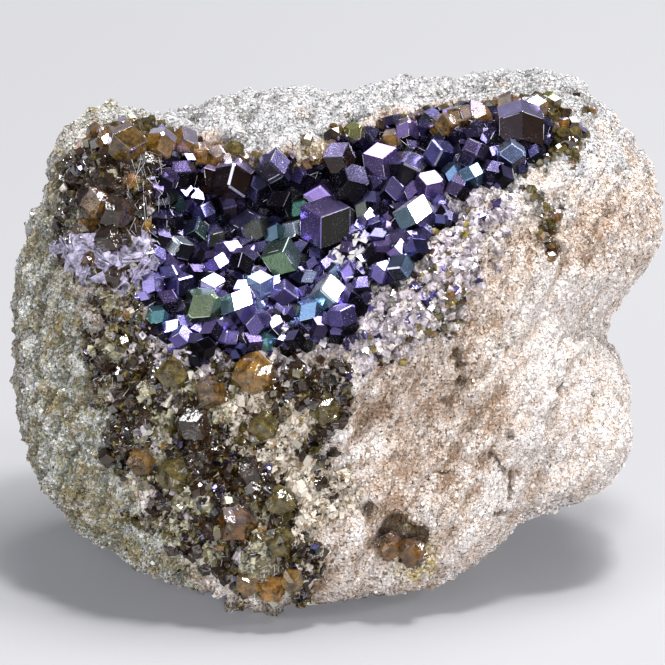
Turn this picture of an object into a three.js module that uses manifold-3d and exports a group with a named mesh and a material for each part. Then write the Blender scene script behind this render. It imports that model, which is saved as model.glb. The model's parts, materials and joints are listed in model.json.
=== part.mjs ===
// An andradite garnet specimen: a hand-trimmed block of sugary skarn rock whose front opens into a shallow hollow
// lined with rhombic dodecahedra of garnet. Millimetres, +Z up, +X to the right, front towards -Y.
// The origin lies on the flat patch that the stone rests on.
//
// Shapes are set out in the front frame: u runs right, v runs up the face and w comes out of it towards the viewer.
// The face looks up by FACE_TILT, so the front frame is the part's frame tipped back by that angle.

import * as THREE from "three";
import { ConvexGeometry } from "three/addons/geometries/ConvexGeometry.js";
import { ImprovedNoise } from "three/addons/math/ImprovedNoise.js";
import { mergeVertices } from "three/addons/utils/BufferGeometryUtils.js";
import Module from "manifold-3d";

const wasm = await Module();
wasm.setup();

// ---------------------------------------------------------------------------------------------------------------
// Driving dimensions

const FACE_TILT = THREE.MathUtils.degToRad(20);
const FRONT_DEPTH = 14.2; // from the middle of the stone out to its front
const BACK_DEPTH = 15.0; // and back to its rear
const HEEL = 0.75; // how much further back the stone reaches for each millimetre below its middle
const CROWN = 0.45; // and how much less far for each millimetre above it
const LEAN_LOW = 0.42; // the stone's edge leans back by this much for each millimetre up its lower half
const LEAN_HIGH = 0.2; // and up its upper half
const REST_LEVEL = 15.1; // height of the stone's middle above the surface that it rests on
const ROCK_DETAIL = 11; // each side of the starting icosahedron is cut into this many steps, plus one
const SEAT_GAP = 0.3; // between the rock and a crust that grows on it
const CRUST_THICKNESS = 0.5; // of the sheet of small garnet that the crystals of a crust stand on
const PROUD = 0.12; // how far a crystal's middle stands above that sheet, as a share of its size

// The stone's edge seen square to its face, anticlockwise from the right-hand notch.
const EDGE = [
  [19.0, 0.1], [19.7, 1.7], [20.5, 3.0], [22.5, 5.8], [23.4, 8.6], [23.4, 10.4], [22.9, 12.0], [21.3, 14.0],
  [20.1, 15.9], [18.6, 16.9], [17.6, 17.9], [14.9, 18.6], [12.6, 18.5], [9.8, 18.0], [7.4, 17.9], [5.1, 17.9],
  [2.4, 17.4], [0.4, 16.9], [-1.0, 17.2], [-2.2, 17.4], [-4.4, 17.2], [-6.6, 16.8], [-8.3, 16.7], [-10.3, 15.8],
  [-12.4, 15.1], [-13.4, 15.1], [-15.2, 16.0], [-16.9, 16.0], [-18.4, 14.8], [-19.7, 13.2], [-19.9, 11.3],
  [-21.0, 9.5], [-21.6, 7.0], [-22.2, 4.6], [-22.5, 2.0], [-22.3, -1.8], [-22.1, -4.2], [-21.6, -7.2],
  [-21.4, -9.0], [-20.3, -11.4], [-18.4, -13.6], [-17.0, -14.7], [-14.8, -15.4], [-12.6, -16.9], [-10.0, -17.9],
  [-7.8, -18.2], [-6.4, -19.1], [-4.3, -19.3], [-2.4, -19.0], [0.4, -19.0], [2.6, -18.3], [5.6, -18.2],
  [8.0, -17.3], [10.2, -16.3], [11.9, -14.7], [13.2, -13.1], [15.6, -12.2], [18.0, -11.8], [19.8, -10.5],
  [21.1, -8.6], [21.2, -7.0], [20.7, -4.6], [20.5, -2.2], [19.6, -0.8],
];

// Rounded bites out of the face that together make the hollow: middle u, v, half-sizes ru, rv, depth, and by what
// share of that each is deeper at its top and shallower at its foot.
const HOLLOW = [
  { u: -8.8, v: 6.2, ru: 5.6, rv: 7.4, depth: 5.4, slope: 0.35 },
  { u: -2.6, v: 5.8, ru: 7.6, rv: 7.2, depth: 6.2, slope: 0.35 },
  { u: 4.2, v: 9.2, ru: 6.6, rv: 5.6, depth: 4.8, slope: 0.3 },
  { u: 10.6, v: 13.2, ru: 5.4, rv: 3.2, depth: 3.0, slope: 0.2 },
];
const HOLLOW_BLEND = 1.0; // how softly one bite runs into the next
const RIM_STEEPNESS = 0.45; // how fast a bite deepens from its edge: a low power under the rim
const FLOOR_STEEPNESS = 1.2; // and a high one at its foot

// Swellings (positive) and dips (negative) of the face: middle u, v, half-sizes ru, rv, turn in degrees, height.
const SWELLINGS = [
  { name: "brow below the hollow", u: 5.5, v: 1.2, ru: 9.0, rv: 4.2, turn: 32, height: 1.5 },
  { name: "left pillar", u: -17.6, v: 7.5, ru: 3.2, rv: 8.0, turn: 0, height: 1.0 },
  { name: "left shoulder knob", u: -15.0, v: 13.8, ru: 2.6, rv: 2.2, turn: 0, height: 1.4 },
  { name: "lower left belly", u: -13.0, v: -9.0, ru: 6.5, rv: 6.0, turn: 0, height: 0.7 },
  { name: "lower right dip", u: 8.0, v: -7.5, ru: 5.0, rv: 3.0, turn: 50, height: -0.7 },
  { name: "garnet pocket", u: 4.9, v: -15.2, ru: 2.2, rv: 1.5, turn: 0, height: -1.7 },
  { name: "small pit", u: 15.4, v: 7.0, ru: 0.9, rv: 1.9, turn: 12, height: -1.3 },
  { name: "upper small pit", u: 2.2, v: -12.5, ru: 0.9, rv: 0.8, turn: 0, height: -0.8 },
];

// The lower right lobe sits back behind a ledge that runs from its top to its foot.
const LEDGE = { top: [19.0, 0.4], foot: [12.3, -12.6], drop: 2.7, softness: 1.7 };

// Broken planes of the rock's rear: the depth at the middle, how it changes along u and v, and the softness of the
// edges between them.
const REAR_PLANES = [
  { name: "main break", w: -14.2, alongU: 0.1, alongV: -0.12 },
  { name: "upper bevel", w: -17.6, alongU: -0.08, alongV: 0.86 },
  { name: "left bevel", w: -19.0, alongU: -0.72, alongV: 0.1 },
  { name: "right bevel", w: -20.5, alongU: 0.78, alongV: 0.15 },
];
const REAR_EDGE = 1.6;

// The top behind the hollow is a flat break: its height at u = 0, its rise to the right, and where it fades out.
const TOP_BREAK = { height: 30.8, rise: 0.09, fadeFrom: -14.5, fadeTo: -11, edge: 1.0 };

// Roughness of the broken rock: size of a lump and how far it stands out, coarse to fine.
const LUMPS = [
  { size: 7.0, height: 0.7 },
  { size: 3.1, height: 0.4 },
  { size: 1.5, height: 0.18 },
];

// Garnet crystals that stand out one by one. at is the place u, v of the crystal's middle on the face and size its
// height across opposite rhombs. facing is the direction of the crystal that looks at the viewer: a rhomb, a corner
// where three rhombs meet or a tip where four do. It is turned right and up by two angles, and then spun about
// itself. A crystal with no facing takes a seeded turn.
const RAINBOW_CRYSTALS = [
  // the large ones in the middle
  { at: [-0.2, 7.5], size: 3.7, facing: "rhomb", right: 14, up: -4, spin: 55 },
  { at: [-5.8, 7.2], size: 2.5, facing: "rhomb", right: 8, up: -12, spin: 70 },
  { at: [-3.7, 5.0], size: 2.7, facing: "rhomb", right: -6, up: -8, spin: 160 },
  { at: [1.3, 10.5], size: 2.7, facing: "rhomb", right: 5, up: -25, spin: 20 },
  { at: [3.4, 12.0], size: 2.5, facing: "corner", right: 5, up: 10, spin: 40 },
  { at: [5.3, 11.4], size: 2.6, facing: "rhomb", right: 10, up: -20, spin: 120 },
  { at: [6.0, 8.0], size: 2.6, facing: "rhomb", right: 8, up: 32, spin: 75 },
  { at: [7.0, 10.2], size: 2.2, facing: "corner", right: -15, up: 5, spin: 15 },
  { at: [4.5, 9.9], size: 1.9, facing: "rhomb", right: -8, up: 18, spin: 100 },
  { at: [7.6, 12.4], size: 2.2, facing: "corner", right: 10, up: 20, spin: 0 },
  { at: [10.1, 12.4], size: 2.1, facing: "tip", right: 0, up: 0, spin: 20 },
  { at: [12.6, 12.4], size: 2.0, facing: "rhomb", right: 4, up: 12, spin: 0 },
  { at: [13.3, 14.6], size: 3.2, facing: "corner", right: 4, up: -28, spin: 90 },
  // along the front of the floor
  { at: [0.0, 2.4], size: 2.6, facing: "rhomb", right: 6, up: 32, spin: 95 },
  { at: [-6.5, 1.7], size: 2.4, facing: "rhomb", right: 8, up: 34, spin: 60 },
  { at: [-9.0, 1.6], size: 2.7, facing: "rhomb", right: -10, up: 8, spin: 5 },
  { at: [-5.1, 3.3], size: 1.9, facing: "rhomb", right: 0, up: 40, spin: 0 },
  { at: [-3.4, 2.4], size: 2.0, facing: "corner", right: 0, up: 35, spin: 90 },
  { at: [-1.5, 1.3], size: 1.9, facing: "rhomb", right: -12, up: 10, spin: 50 },
  { at: [0.8, 0.9], size: 2.0, facing: "rhomb", right: 20, up: 15, spin: 60 },
  { at: [-12.3, 1.1], size: 1.4, facing: "rhomb", right: 0, up: 0, spin: 45 },
  { at: [-10.7, 3.1], size: 2.0, facing: "corner", right: -10, up: 30, spin: 30 },
  { at: [-8.4, 3.1], size: 1.9, facing: "rhomb", right: 5, up: 38, spin: 0 },
  { at: [-11.5, 2.1], size: 1.8 },
  { at: [-5.3, 0.6], size: 1.9 },
  { at: [-7.4, -0.6], size: 1.6 },
  { at: [-11.4, 0.0], size: 1.6 },
  // the middle rows
  { at: [-2.6, 7.0], size: 1.9, facing: "rhomb", right: 25, up: 30, spin: 55 },
  { at: [-4.2, 6.9], size: 1.7 },
  { at: [-8.3, 6.7], size: 1.7, facing: "rhomb", right: 0, up: -10, spin: 50 },
  { at: [-9.6, 7.0], size: 2.0, facing: "corner", right: -10, up: 10, spin: 80 },
  { at: [-10.9, 5.7], size: 1.9, facing: "rhomb", right: -28, up: 26, spin: 110 },
  { at: [-6.3, 5.0], size: 1.8 },
  { at: [-11.5, 4.0], size: 1.6 },
  { at: [1.4, 4.2], size: 1.7 },
  { at: [3.5, 4.1], size: 1.7 },
  { at: [5.9, 5.9], size: 1.7 },
  { at: [4.8, 4.6], size: 1.8 },
  { at: [-0.6, 9.5], size: 1.9 },
  { at: [-2.3, 8.8], size: 1.7, facing: "rhomb", right: -5, up: 0, spin: 50 },
  { at: [-3.8, 9.2], size: 1.9 },
  { at: [-7.1, 8.8], size: 1.9 },
  { at: [-9.1, 8.3], size: 1.7 },
  { at: [-11.6, 7.9], size: 1.8 },
  // the shaded row under the rim
  { at: [-5.3, 10.3], size: 1.9, facing: "corner", right: 0, up: -10, spin: 25 },
  { at: [-7.0, 10.9], size: 2.7, facing: "corner", right: 5, up: -25, spin: 90 },
  { at: [-4.1, 11.6], size: 2.3 },
  { at: [-1.9, 11.4], size: 1.7 },
  { at: [-8.7, 10.8], size: 2.0 },
  { at: [-10.7, 11.2], size: 1.9 },
  { at: [0.4, 12.3], size: 2.2, facing: "corner", right: 10, up: 5, spin: 60 },
  { at: [5.3, 14.3], size: 1.7 },
  { at: [9.0, 10.2], size: 1.6 },
  { at: [9.9, 11.0], size: 1.6 },
  // honey garnets along the rim
  { at: [-14.4, 13.2], size: 2.6, facing: "corner", right: 10, up: -15, spin: 20 },
  { at: [-12.2, 13.4], size: 2.0, facing: "corner", right: -10, up: -20, spin: 70 },
  { at: [-10.7, 13.3], size: 1.9, facing: "rhomb", right: 5, up: -30, spin: 10 },
  { at: [-9.4, 12.6], size: 1.7 },
  { at: [-8.1, 12.5], size: 1.6 },
  { at: [1.6, 14.1], size: 1.5, facing: "rhomb", right: 0, up: 0, spin: 50 },
  { at: [4.2, 13.6], size: 1.5 },
  { at: [8.0, 14.6], size: 1.8 },
  { at: [9.1, 15.2], size: 1.7 },
  { at: [10.5, 15.2], size: 1.6 },
  { at: [12.6, 15.9], size: 1.8 },
  { at: [14.5, 16.0], size: 1.7, facing: "rhomb", right: 0, up: 30, spin: 0 },
];

// The edge of the sheet of small garnet that lines the hollow.
const RAINBOW_BED = [
  [-15.2, 12.6], [-15.6, 14.6], [-13.4, 14.7], [-10.2, 13.7], [-6.0, 12.9], [-2.4, 13.0], [1.4, 14.4], [5.0, 15.4],
  [9.2, 16.2], [13.2, 17.0], [15.8, 16.4], [15.6, 13.6], [13.6, 11.4], [9.2, 9.4], [8.0, 6.2], [4.6, 3.6],
  [2.0, 0.6], [-2.0, -1.2], [-7.6, -1.4], [-12.0, -0.4], [-13.0, 3.0], [-12.7, 8.0], [-13.2, 11.8],
];

// Brown garnets of the left wall, the dark flank below the hollow, the foot and the pocket: middles and sizes.
const WALL_CRYSTALS = [
  { at: [-16.2, 10.6], size: 1.7 },
  { at: [-16.6, 8.9], size: 2.2 },
  { at: [-15.2, 8.5], size: 2.1 },
  { at: [-17.4, 7.2], size: 1.7 },
  { at: [-15.7, 6.6], size: 1.8 },
  { at: [-16.9, 5.0], size: 1.5 },
  { at: [-15.2, 3.9], size: 1.6 },
];
const WALL_BED = [
  [-17.6, 11.0], [-15.4, 12.0], [-14.2, 10.4], [-13.7, 7.0], [-14.0, 3.4], [-15.6, 2.8], [-17.8, 4.4], [-18.6, 7.4],
];
const FLANK_CRYSTALS = [
  { at: [-5.4, -2.9], size: 2.6 },
  { at: [-0.4, -5.4], size: 2.0 },
  { at: [-8.6, -4.2], size: 2.0 },
  { at: [-11.2, -3.0], size: 1.9 },
  { at: [-9.8, -6.6], size: 2.2 },
  { at: [-4.8, -6.6], size: 1.9 },
  { at: [-13.4, -9.0], size: 1.8 },
  { at: [-11.0, -10.0], size: 2.3 },
  { at: [-5.9, -9.8], size: 1.9 },
  { at: [-3.6, -11.8], size: 2.0 },
  { at: [-6.7, -13.4], size: 2.3 },
  { at: [-3.8, -14.6], size: 2.0 },
];
const FLANK_BED = [
  [-12.8, -1.6], [-8.0, -2.6], [-4.2, -2.4], [0.0, -3.4], [1.0, -5.8], [-2.4, -7.6], [-2.6, -10.4], [-2.0, -13.0],
  [-3.0, -15.6], [-7.0, -15.2], [-11.2, -14.2], [-13.6, -11.0], [-14.6, -7.2], [-14.0, -3.8],
];
const FOOT_CRYSTALS = [
  { at: [-5.9, -17.6], size: 1.7 },
  { at: [-4.3, -17.9], size: 1.8 },
  { at: [-2.9, -17.3], size: 1.6 },
];
const FOOT_BED = [
  [-6.8, -16.6], [-4.6, -16.6], [-2.2, -16.4], [-2.0, -17.8], [-4.2, -18.2], [-6.6, -18.0],
];
const POCKET_CRYSTALS = [
  { at: [4.0, -15.0], size: 1.7 },
  { at: [5.6, -15.5], size: 1.8 },
];
const POCKET_BED = [
  [3.0, -14.2], [5.0, -13.8], [7.0, -14.0], [7.0, -15.6], [5.2, -16.4], [3.4, -16.0],
];

// ---------------------------------------------------------------------------------------------------------------
// Frames, noise and random numbers

// The turn that carries front-frame directions into the part's frame.
const frontTurn = new THREE.Matrix4().makeBasis(
  new THREE.Vector3(1, 0, 0),
  new THREE.Vector3(0, Math.sin(FACE_TILT), Math.cos(FACE_TILT)),
  new THREE.Vector3(0, -Math.cos(FACE_TILT), Math.sin(FACE_TILT)),
);
const frontToPart = new THREE.Matrix4().makeTranslation(0, 0, REST_LEVEL).multiply(frontTurn);

const noise = new ImprovedNoise();

// Lumps of the broken rock, about zero on average.
function lumpiness(u, v, w) {
  let sum = 0;
  for (const { size, height } of LUMPS) {
    sum += height * 1.6 * noise.noise(u / size + 11.3, v / size + 4.7, w / size + 8.1);
  }
  return sum;
}

function seededRandom(seed) {
  let state = seed;
  return () => {
    state = (state * 1664525 + 1013904223) % 4294967296;
    return state / 4294967296;
  };
}

// The lower of two heights, rounded over where they cross, and the higher one.
function softMin(a, b, softness) {
  const h = THREE.MathUtils.clamp(0.5 + (0.5 * (b - a)) / softness, 0, 1);
  return THREE.MathUtils.lerp(b, a, h) - softness * h * (1 - h);
}

function softMax(a, b, softness) {
  return -softMin(-a, -b, softness);
}

// ---------------------------------------------------------------------------------------------------------------
// The rock's form

const edgePolar = EDGE.map(([u, v]) => ({ angle: Math.atan2(v, u), radius: Math.hypot(u, v) })).sort(
  (a, b) => a.angle - b.angle,
);

// How far the stone's edge lies from its middle in a direction of the face.
function edgeRadius(angle) {
  const count = edgePolar.length;
  const next = Math.max(0, edgePolar.findIndex((p) => p.angle > angle));
  const after = edgePolar[next];
  const before = edgePolar[(next + count - 1) % count];
  const span = THREE.MathUtils.euclideanModulo(after.angle - before.angle, 2 * Math.PI);
  const along = THREE.MathUtils.euclideanModulo(angle - before.angle, 2 * Math.PI) / span;
  return THREE.MathUtils.lerp(before.radius, after.radius, along);
}

// A smooth bump of height 1 at the middle of a turned ellipse and 0 outside it.
function mound(u, v, { u: cu, v: cv, ru, rv, turn }) {
  const a = THREE.MathUtils.degToRad(turn);
  const du = u - cu;
  const dv = v - cv;
  const x = (du * Math.cos(a) + dv * Math.sin(a)) / ru;
  const y = (dv * Math.cos(a) - du * Math.sin(a)) / rv;
  return Math.exp(-(x * x + y * y));
}

// How deep the hollow is at a place.
function hollowDepth(u, v) {
  let depth = 0;
  for (const bite of HOLLOW) {
    const x = (u - bite.u) / bite.ru;
    const y = (v - bite.v) / bite.rv;
    const inside = Math.max(0, 1 - x * x - y * y);
    const towardsRim = THREE.MathUtils.smoothstep(y, -0.5, 0.6);
    const power = THREE.MathUtils.lerp(FLOOR_STEEPNESS, RIM_STEEPNESS, towardsRim);
    if (inside > 0) depth = softMax(depth, bite.depth * inside ** power * (1 + bite.slope * y), HOLLOW_BLEND);
  }
  return depth;
}

// How far the ledge sets the face back at a place.
function ledgeDrop(u, v) {
  const [topU, topV] = LEDGE.top;
  const [footU, footV] = LEDGE.foot;
  const length = Math.hypot(topU - footU, topV - footV);
  const beyond = ((u - footU) * (topV - footV) - (v - footV) * (topU - footU)) / length;
  return LEDGE.drop / (1 + Math.exp((-2 * beyond) / LEDGE.softness));
}

// The depth of the face, without its lumps, where a direction from the stone's middle meets it.
function faceDepth(u, v, share, lean) {
  // the face is flatter towards the top than towards the sides and the foot
  const flatness = 2.4 + 0.9 * Math.max(0, v / Math.hypot(u, v, 1e-6));
  let w = FRONT_DEPTH * (1 - share ** flatness) ** (1 / flatness) - lean * v * share ** 2;
  const inner = THREE.MathUtils.smoothstep(1 - share, 0.02, 0.2); // features fade out at the stone's edge
  for (const swelling of SWELLINGS) w += inner * swelling.height * mound(u, v, swelling);
  const topHeight = TOP_BREAK.height + TOP_BREAK.rise * u;
  const topDepth = (topHeight - REST_LEVEL - v * Math.cos(FACE_TILT)) / Math.sin(FACE_TILT);
  const top = THREE.MathUtils.smoothstep(u, TOP_BREAK.fadeFrom, TOP_BREAK.fadeTo);
  w = THREE.MathUtils.lerp(w, softMin(w, topDepth, TOP_BREAK.edge), top * inner);
  return w - hollowDepth(u, v) - inner * ledgeDrop(u, v);
}

// The depth of the rear, without its lumps.
function rearDepth(u, v, direction, lean) {
  const reach = BACK_DEPTH + (v < 0 ? HEEL : CROWN) * -v;
  let w = reach * direction.z - lean * v;
  for (const plane of REAR_PLANES) {
    w = softMax(w, plane.w + plane.alongU * u + plane.alongV * v, REAR_EDGE);
  }
  return w;
}

// The point of the rock's skin in a direction from its middle, in the front frame.
function skin(direction) {
  const share = Math.min(1, Math.hypot(direction.x, direction.y));
  const radius = edgeRadius(Math.atan2(direction.y, direction.x));
  const u = radius * direction.x;
  const v = radius * direction.y;
  const lean = v < 0 ? LEAN_LOW : LEAN_HIGH;
  const w = direction.z > 0 ? faceDepth(u, v, share, lean) : rearDepth(u, v, direction, lean);
  const lump = lumpiness(u, v, w);
  const sideways = lump * 0.35; // lumps are lower on the edge, which keeps its outline
  return new THREE.Vector3(u + sideways * direction.x, v + sideways * direction.y, w + lump * direction.z);
}

// The skin at u, v of the face, and the way it looks there.
function onFace(u, v) {
  const angle = Math.atan2(v, u);
  const share = Math.min(0.995, Math.hypot(u, v) / edgeRadius(angle));
  return skin(new THREE.Vector3(share * Math.cos(angle), share * Math.sin(angle), Math.sqrt(1 - share * share)));
}

function outwards(u, v) {
  const step = 0.5;
  const alongU = onFace(u + step, v).sub(onFace(u - step, v));
  const alongV = onFace(u, v + step).sub(onFace(u, v - step));
  return alongU.cross(alongV).normalize();
}

// The point that stands off the face by some height and is seen at u, v.
function standingOff(u, v, height) {
  let [footU, footV] = [u, v];
  let place;
  for (let pass = 0; pass < 6; pass++) {
    place = onFace(footU, footV).addScaledVector(outwards(footU, footV), height);
    footU += 0.5 * (u - place.x);
    footV += 0.5 * (v - place.y);
  }
  return place;
}

// ---------------------------------------------------------------------------------------------------------------
// Solids

function solid(geometry) {
  const bare = geometry.clone();
  for (const name of Object.keys(bare.attributes)) if (name !== "position") bare.deleteAttribute(name);
  const merged = mergeVertices(bare, 1e-4);
  return new wasm.Manifold(
    new wasm.Mesh({
      numProp: 3,
      vertProperties: new Float32Array(merged.attributes.position.array),
      triVerts: new Uint32Array(merged.index.array),
    }),
  );
}

function geometryOf(made) {
  const mesh = made.getMesh();
  const positions = new Float32Array(mesh.numVert * 3);
  for (let i = 0; i < mesh.numVert; i++) {
    positions.set(mesh.vertProperties.subarray(i * mesh.numProp, i * mesh.numProp + 3), i * 3);
  }
  const geometry = new THREE.BufferGeometry();
  geometry.setAttribute("position", new THREE.BufferAttribute(positions, 3));
  geometry.setIndex(new THREE.BufferAttribute(new Uint32Array(mesh.triVerts), 1));
  geometry.computeVertexNormals();
  return geometry;
}

// The largest body of a solid, without the crumbs that a cut leaves.
function mainBody(made) {
  return made.decompose().reduce((a, b) => (a.volume() > b.volume() ? a : b));
}

// The rock's form before its foot is cut flat, swollen outwards by some thickness.
function rockForm(swell) {
  const sphere = new THREE.IcosahedronGeometry(1, ROCK_DETAIL);
  sphere.deleteAttribute("normal");
  sphere.deleteAttribute("uv");
  const geometry = mergeVertices(sphere, 1e-5);
  const position = geometry.attributes.position;
  const direction = new THREE.Vector3();
  for (let i = 0; i < position.count; i++) {
    direction.fromBufferAttribute(position, i).normalize();
    position.setXYZ(i, ...skin(direction).applyMatrix4(frontToPart));
  }
  geometry.computeVertexNormals();
  const normal = geometry.attributes.normal;
  for (let i = 0; i < position.count; i++) {
    position.setXYZ(
      i,
      position.getX(i) + swell * normal.getX(i),
      position.getY(i) + swell * normal.getY(i),
      position.getZ(i) + swell * normal.getZ(i),
    );
  }
  return solid(geometry);
}

const SLAB = 60;
const belowGround = solid(new THREE.BoxGeometry(SLAB, SLAB, SLAB).translate(0, 0, -SLAB / 2));
const seat = rockForm(SEAT_GAP);
const bedTop = rockForm(SEAT_GAP + CRUST_THICKNESS);

// A garnet: twelve rhombs, one unit across opposite rhombs.
const DODECAHEDRON = [];
for (const sign of [-1, 1]) {
  for (const axis of [0, 1, 2]) {
    DODECAHEDRON.push(new THREE.Vector3().setComponent(axis, sign));
  }
  for (const second of [-1, 1]) {
    for (const third of [-1, 1]) DODECAHEDRON.push(new THREE.Vector3(sign, second, third).multiplyScalar(0.5));
  }
}
for (const corner of DODECAHEDRON) corner.multiplyScalar(Math.SQRT1_2);

// The crystal direction that faces the viewer and the one that then points right, before any turn.
const FACINGS = {
  rhomb: [new THREE.Vector3(1, 1, 0), new THREE.Vector3(1, -1, 0)],
  corner: [new THREE.Vector3(1, 1, 1), new THREE.Vector3(2, -1, -1)],
  tip: [new THREE.Vector3(1, 0, 0), new THREE.Vector3(0, 1, 0)],
};

function crystalTurn({ facing, right = 0, up = 0, spin = 0 }, random) {
  const angles = facing
    ? [right, up, spin].map(THREE.MathUtils.degToRad)
    : [0, 0, 0].map(() => 2 * Math.PI * random());
  const [ahead, across] = FACINGS[facing ?? "rhomb"].map((direction) => direction.clone().normalize());
  const upright = new THREE.Vector3().crossVectors(ahead, across);
  return new THREE.Matrix4()
    .makeRotationY(angles[0])
    .multiply(new THREE.Matrix4().makeRotationX(-angles[1]))
    .multiply(new THREE.Matrix4().makeRotationZ(angles[2]))
    .multiply(new THREE.Matrix4().makeBasis(across, upright, ahead).transpose());
}

// A crust: crystals standing about half out of a thin bed that follows the rock, cut to sit just off the rock.
function crust(crystals, bedEdge, seed) {
  const random = seededRandom(seed);
  const outline = new THREE.Shape(bedEdge.map(([u, v]) => new THREE.Vector2(u, v)));
  const prism = new THREE.ExtrudeGeometry(outline, { depth: 40, bevelEnabled: false });
  let made = bedTop.intersect(solid(prism.translate(0, 0, -8).applyMatrix4(frontToPart)));
  for (const crystal of crystals) {
    const middle = standingOff(...crystal.at, SEAT_GAP + CRUST_THICKNESS + PROUD * crystal.size);
    const place = new THREE.Matrix4().makeTranslation(middle).multiply(crystalTurn(crystal, random));
    const corners = DODECAHEDRON.map((corner) =>
      corner.clone().multiplyScalar(crystal.size).applyMatrix4(place).applyMatrix4(frontToPart),
    );
    made = made.add(solid(new ConvexGeometry(corners)));
  }
  return mainBody(made.subtract(seat).subtract(belowGround));
}

function piece(name, made, color, roughness, metalness) {
  const material = new THREE.MeshStandardMaterial({ color, roughness, metalness });
  const mesh = new THREE.Mesh(geometryOf(made), material);
  mesh.name = name;
  return mesh;
}

const specimen = new THREE.Group();
specimen.add(
  piece("host_rock", mainBody(rockForm(0).subtract(belowGround)), 0xc9b8a0, 0.9, 0),
  piece("rainbow_garnet_crust", crust(RAINBOW_CRYSTALS, RAINBOW_BED, 11), 0x4a3a86, 0.25, 0.4),
  piece("wall_garnets", crust(WALL_CRYSTALS, WALL_BED, 23), 0x5a4030, 0.3, 0),
  piece("flank_garnets", crust(FLANK_CRYSTALS, FLANK_BED, 37), 0x4a3c28, 0.3, 0),
  piece("foot_garnets", crust(FOOT_CRYSTALS, FOOT_BED, 41), 0xa66a1e, 0.25, 0),
  piece("pocket_garnets", crust(POCKET_CRYSTALS, POCKET_BED, 53), 0x6a4a24, 0.3, 0),
);

export default specimen;
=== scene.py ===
"""Dresses an andradite garnet specimen: sugary skarn rock whose face opens into a hollow of rainbow garnets.

Places are set out in the front frame, in millimetres: u runs right, v runs up the face and w comes out of it
towards the viewer. The face looks up by FACE_TILT, and the middle of the frame stands REST_LEVEL above the
floor.
"""

import json
import math
from collections import namedtuple

import bpy
import numpy as np
from mathutils import Matrix, Vector, noise
from mathutils.bvhtree import BVHTree

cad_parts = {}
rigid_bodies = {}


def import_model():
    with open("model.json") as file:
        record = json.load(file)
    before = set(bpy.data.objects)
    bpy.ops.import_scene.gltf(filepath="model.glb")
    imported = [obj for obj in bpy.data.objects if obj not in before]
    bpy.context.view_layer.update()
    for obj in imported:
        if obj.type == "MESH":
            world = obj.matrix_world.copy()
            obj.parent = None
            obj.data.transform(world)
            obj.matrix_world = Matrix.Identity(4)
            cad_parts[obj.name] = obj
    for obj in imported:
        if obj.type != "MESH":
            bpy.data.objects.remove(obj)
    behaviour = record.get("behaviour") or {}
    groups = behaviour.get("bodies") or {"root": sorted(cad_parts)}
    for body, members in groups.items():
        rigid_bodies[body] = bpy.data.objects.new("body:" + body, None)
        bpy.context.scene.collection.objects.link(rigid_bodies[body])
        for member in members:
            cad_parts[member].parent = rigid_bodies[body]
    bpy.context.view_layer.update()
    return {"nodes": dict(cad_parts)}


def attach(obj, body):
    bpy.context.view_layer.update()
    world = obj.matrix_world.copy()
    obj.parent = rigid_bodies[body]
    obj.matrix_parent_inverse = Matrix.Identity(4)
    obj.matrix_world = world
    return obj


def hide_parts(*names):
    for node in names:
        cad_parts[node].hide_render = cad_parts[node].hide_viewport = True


bl_info = {
    "name": "Garnet specimen",
    "version": (1, 0, 0),
    "blender": (4, 5, 0),
    "location": "3D View > Sidebar > Garnet",
    "description": "Dresses a block of skarn rock with its rainbow, honey and brown garnets",
    "category": "Add Mesh",
}

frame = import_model()
STONE = "matrix_stone"
ROCK_NODE = "host_rock"

MM = 0.001
FACE_TILT = math.radians(20)
REST_LEVEL = 15.1
TILT_SIN, TILT_COS = math.sin(FACE_TILT), math.cos(FACE_TILT)
FRONT_TO_PART = Matrix(((1, 0, 0), (0, TILT_SIN, -TILT_COS), (0, TILT_COS, TILT_SIN)))
FRONT_AXES = np.array(FRONT_TO_PART)

# ----------------------------------------------------------------------------------------------------------
# Where the crystals sit

# A crystal that is told apart: the place of its middle, its height across opposite rhombs, its look, and the
# crystal direction that faces the viewer with its turn right, up and about itself. One that faces no set way
# takes a seeded turn, and one with no look takes the next of its group's.
Crystal = namedtuple("Crystal", "u v size look facing right up spin", defaults=(None, None, 0, 0, 0))


def crystal_table(rows):
    return [Crystal(*row) for row in rows]


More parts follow.
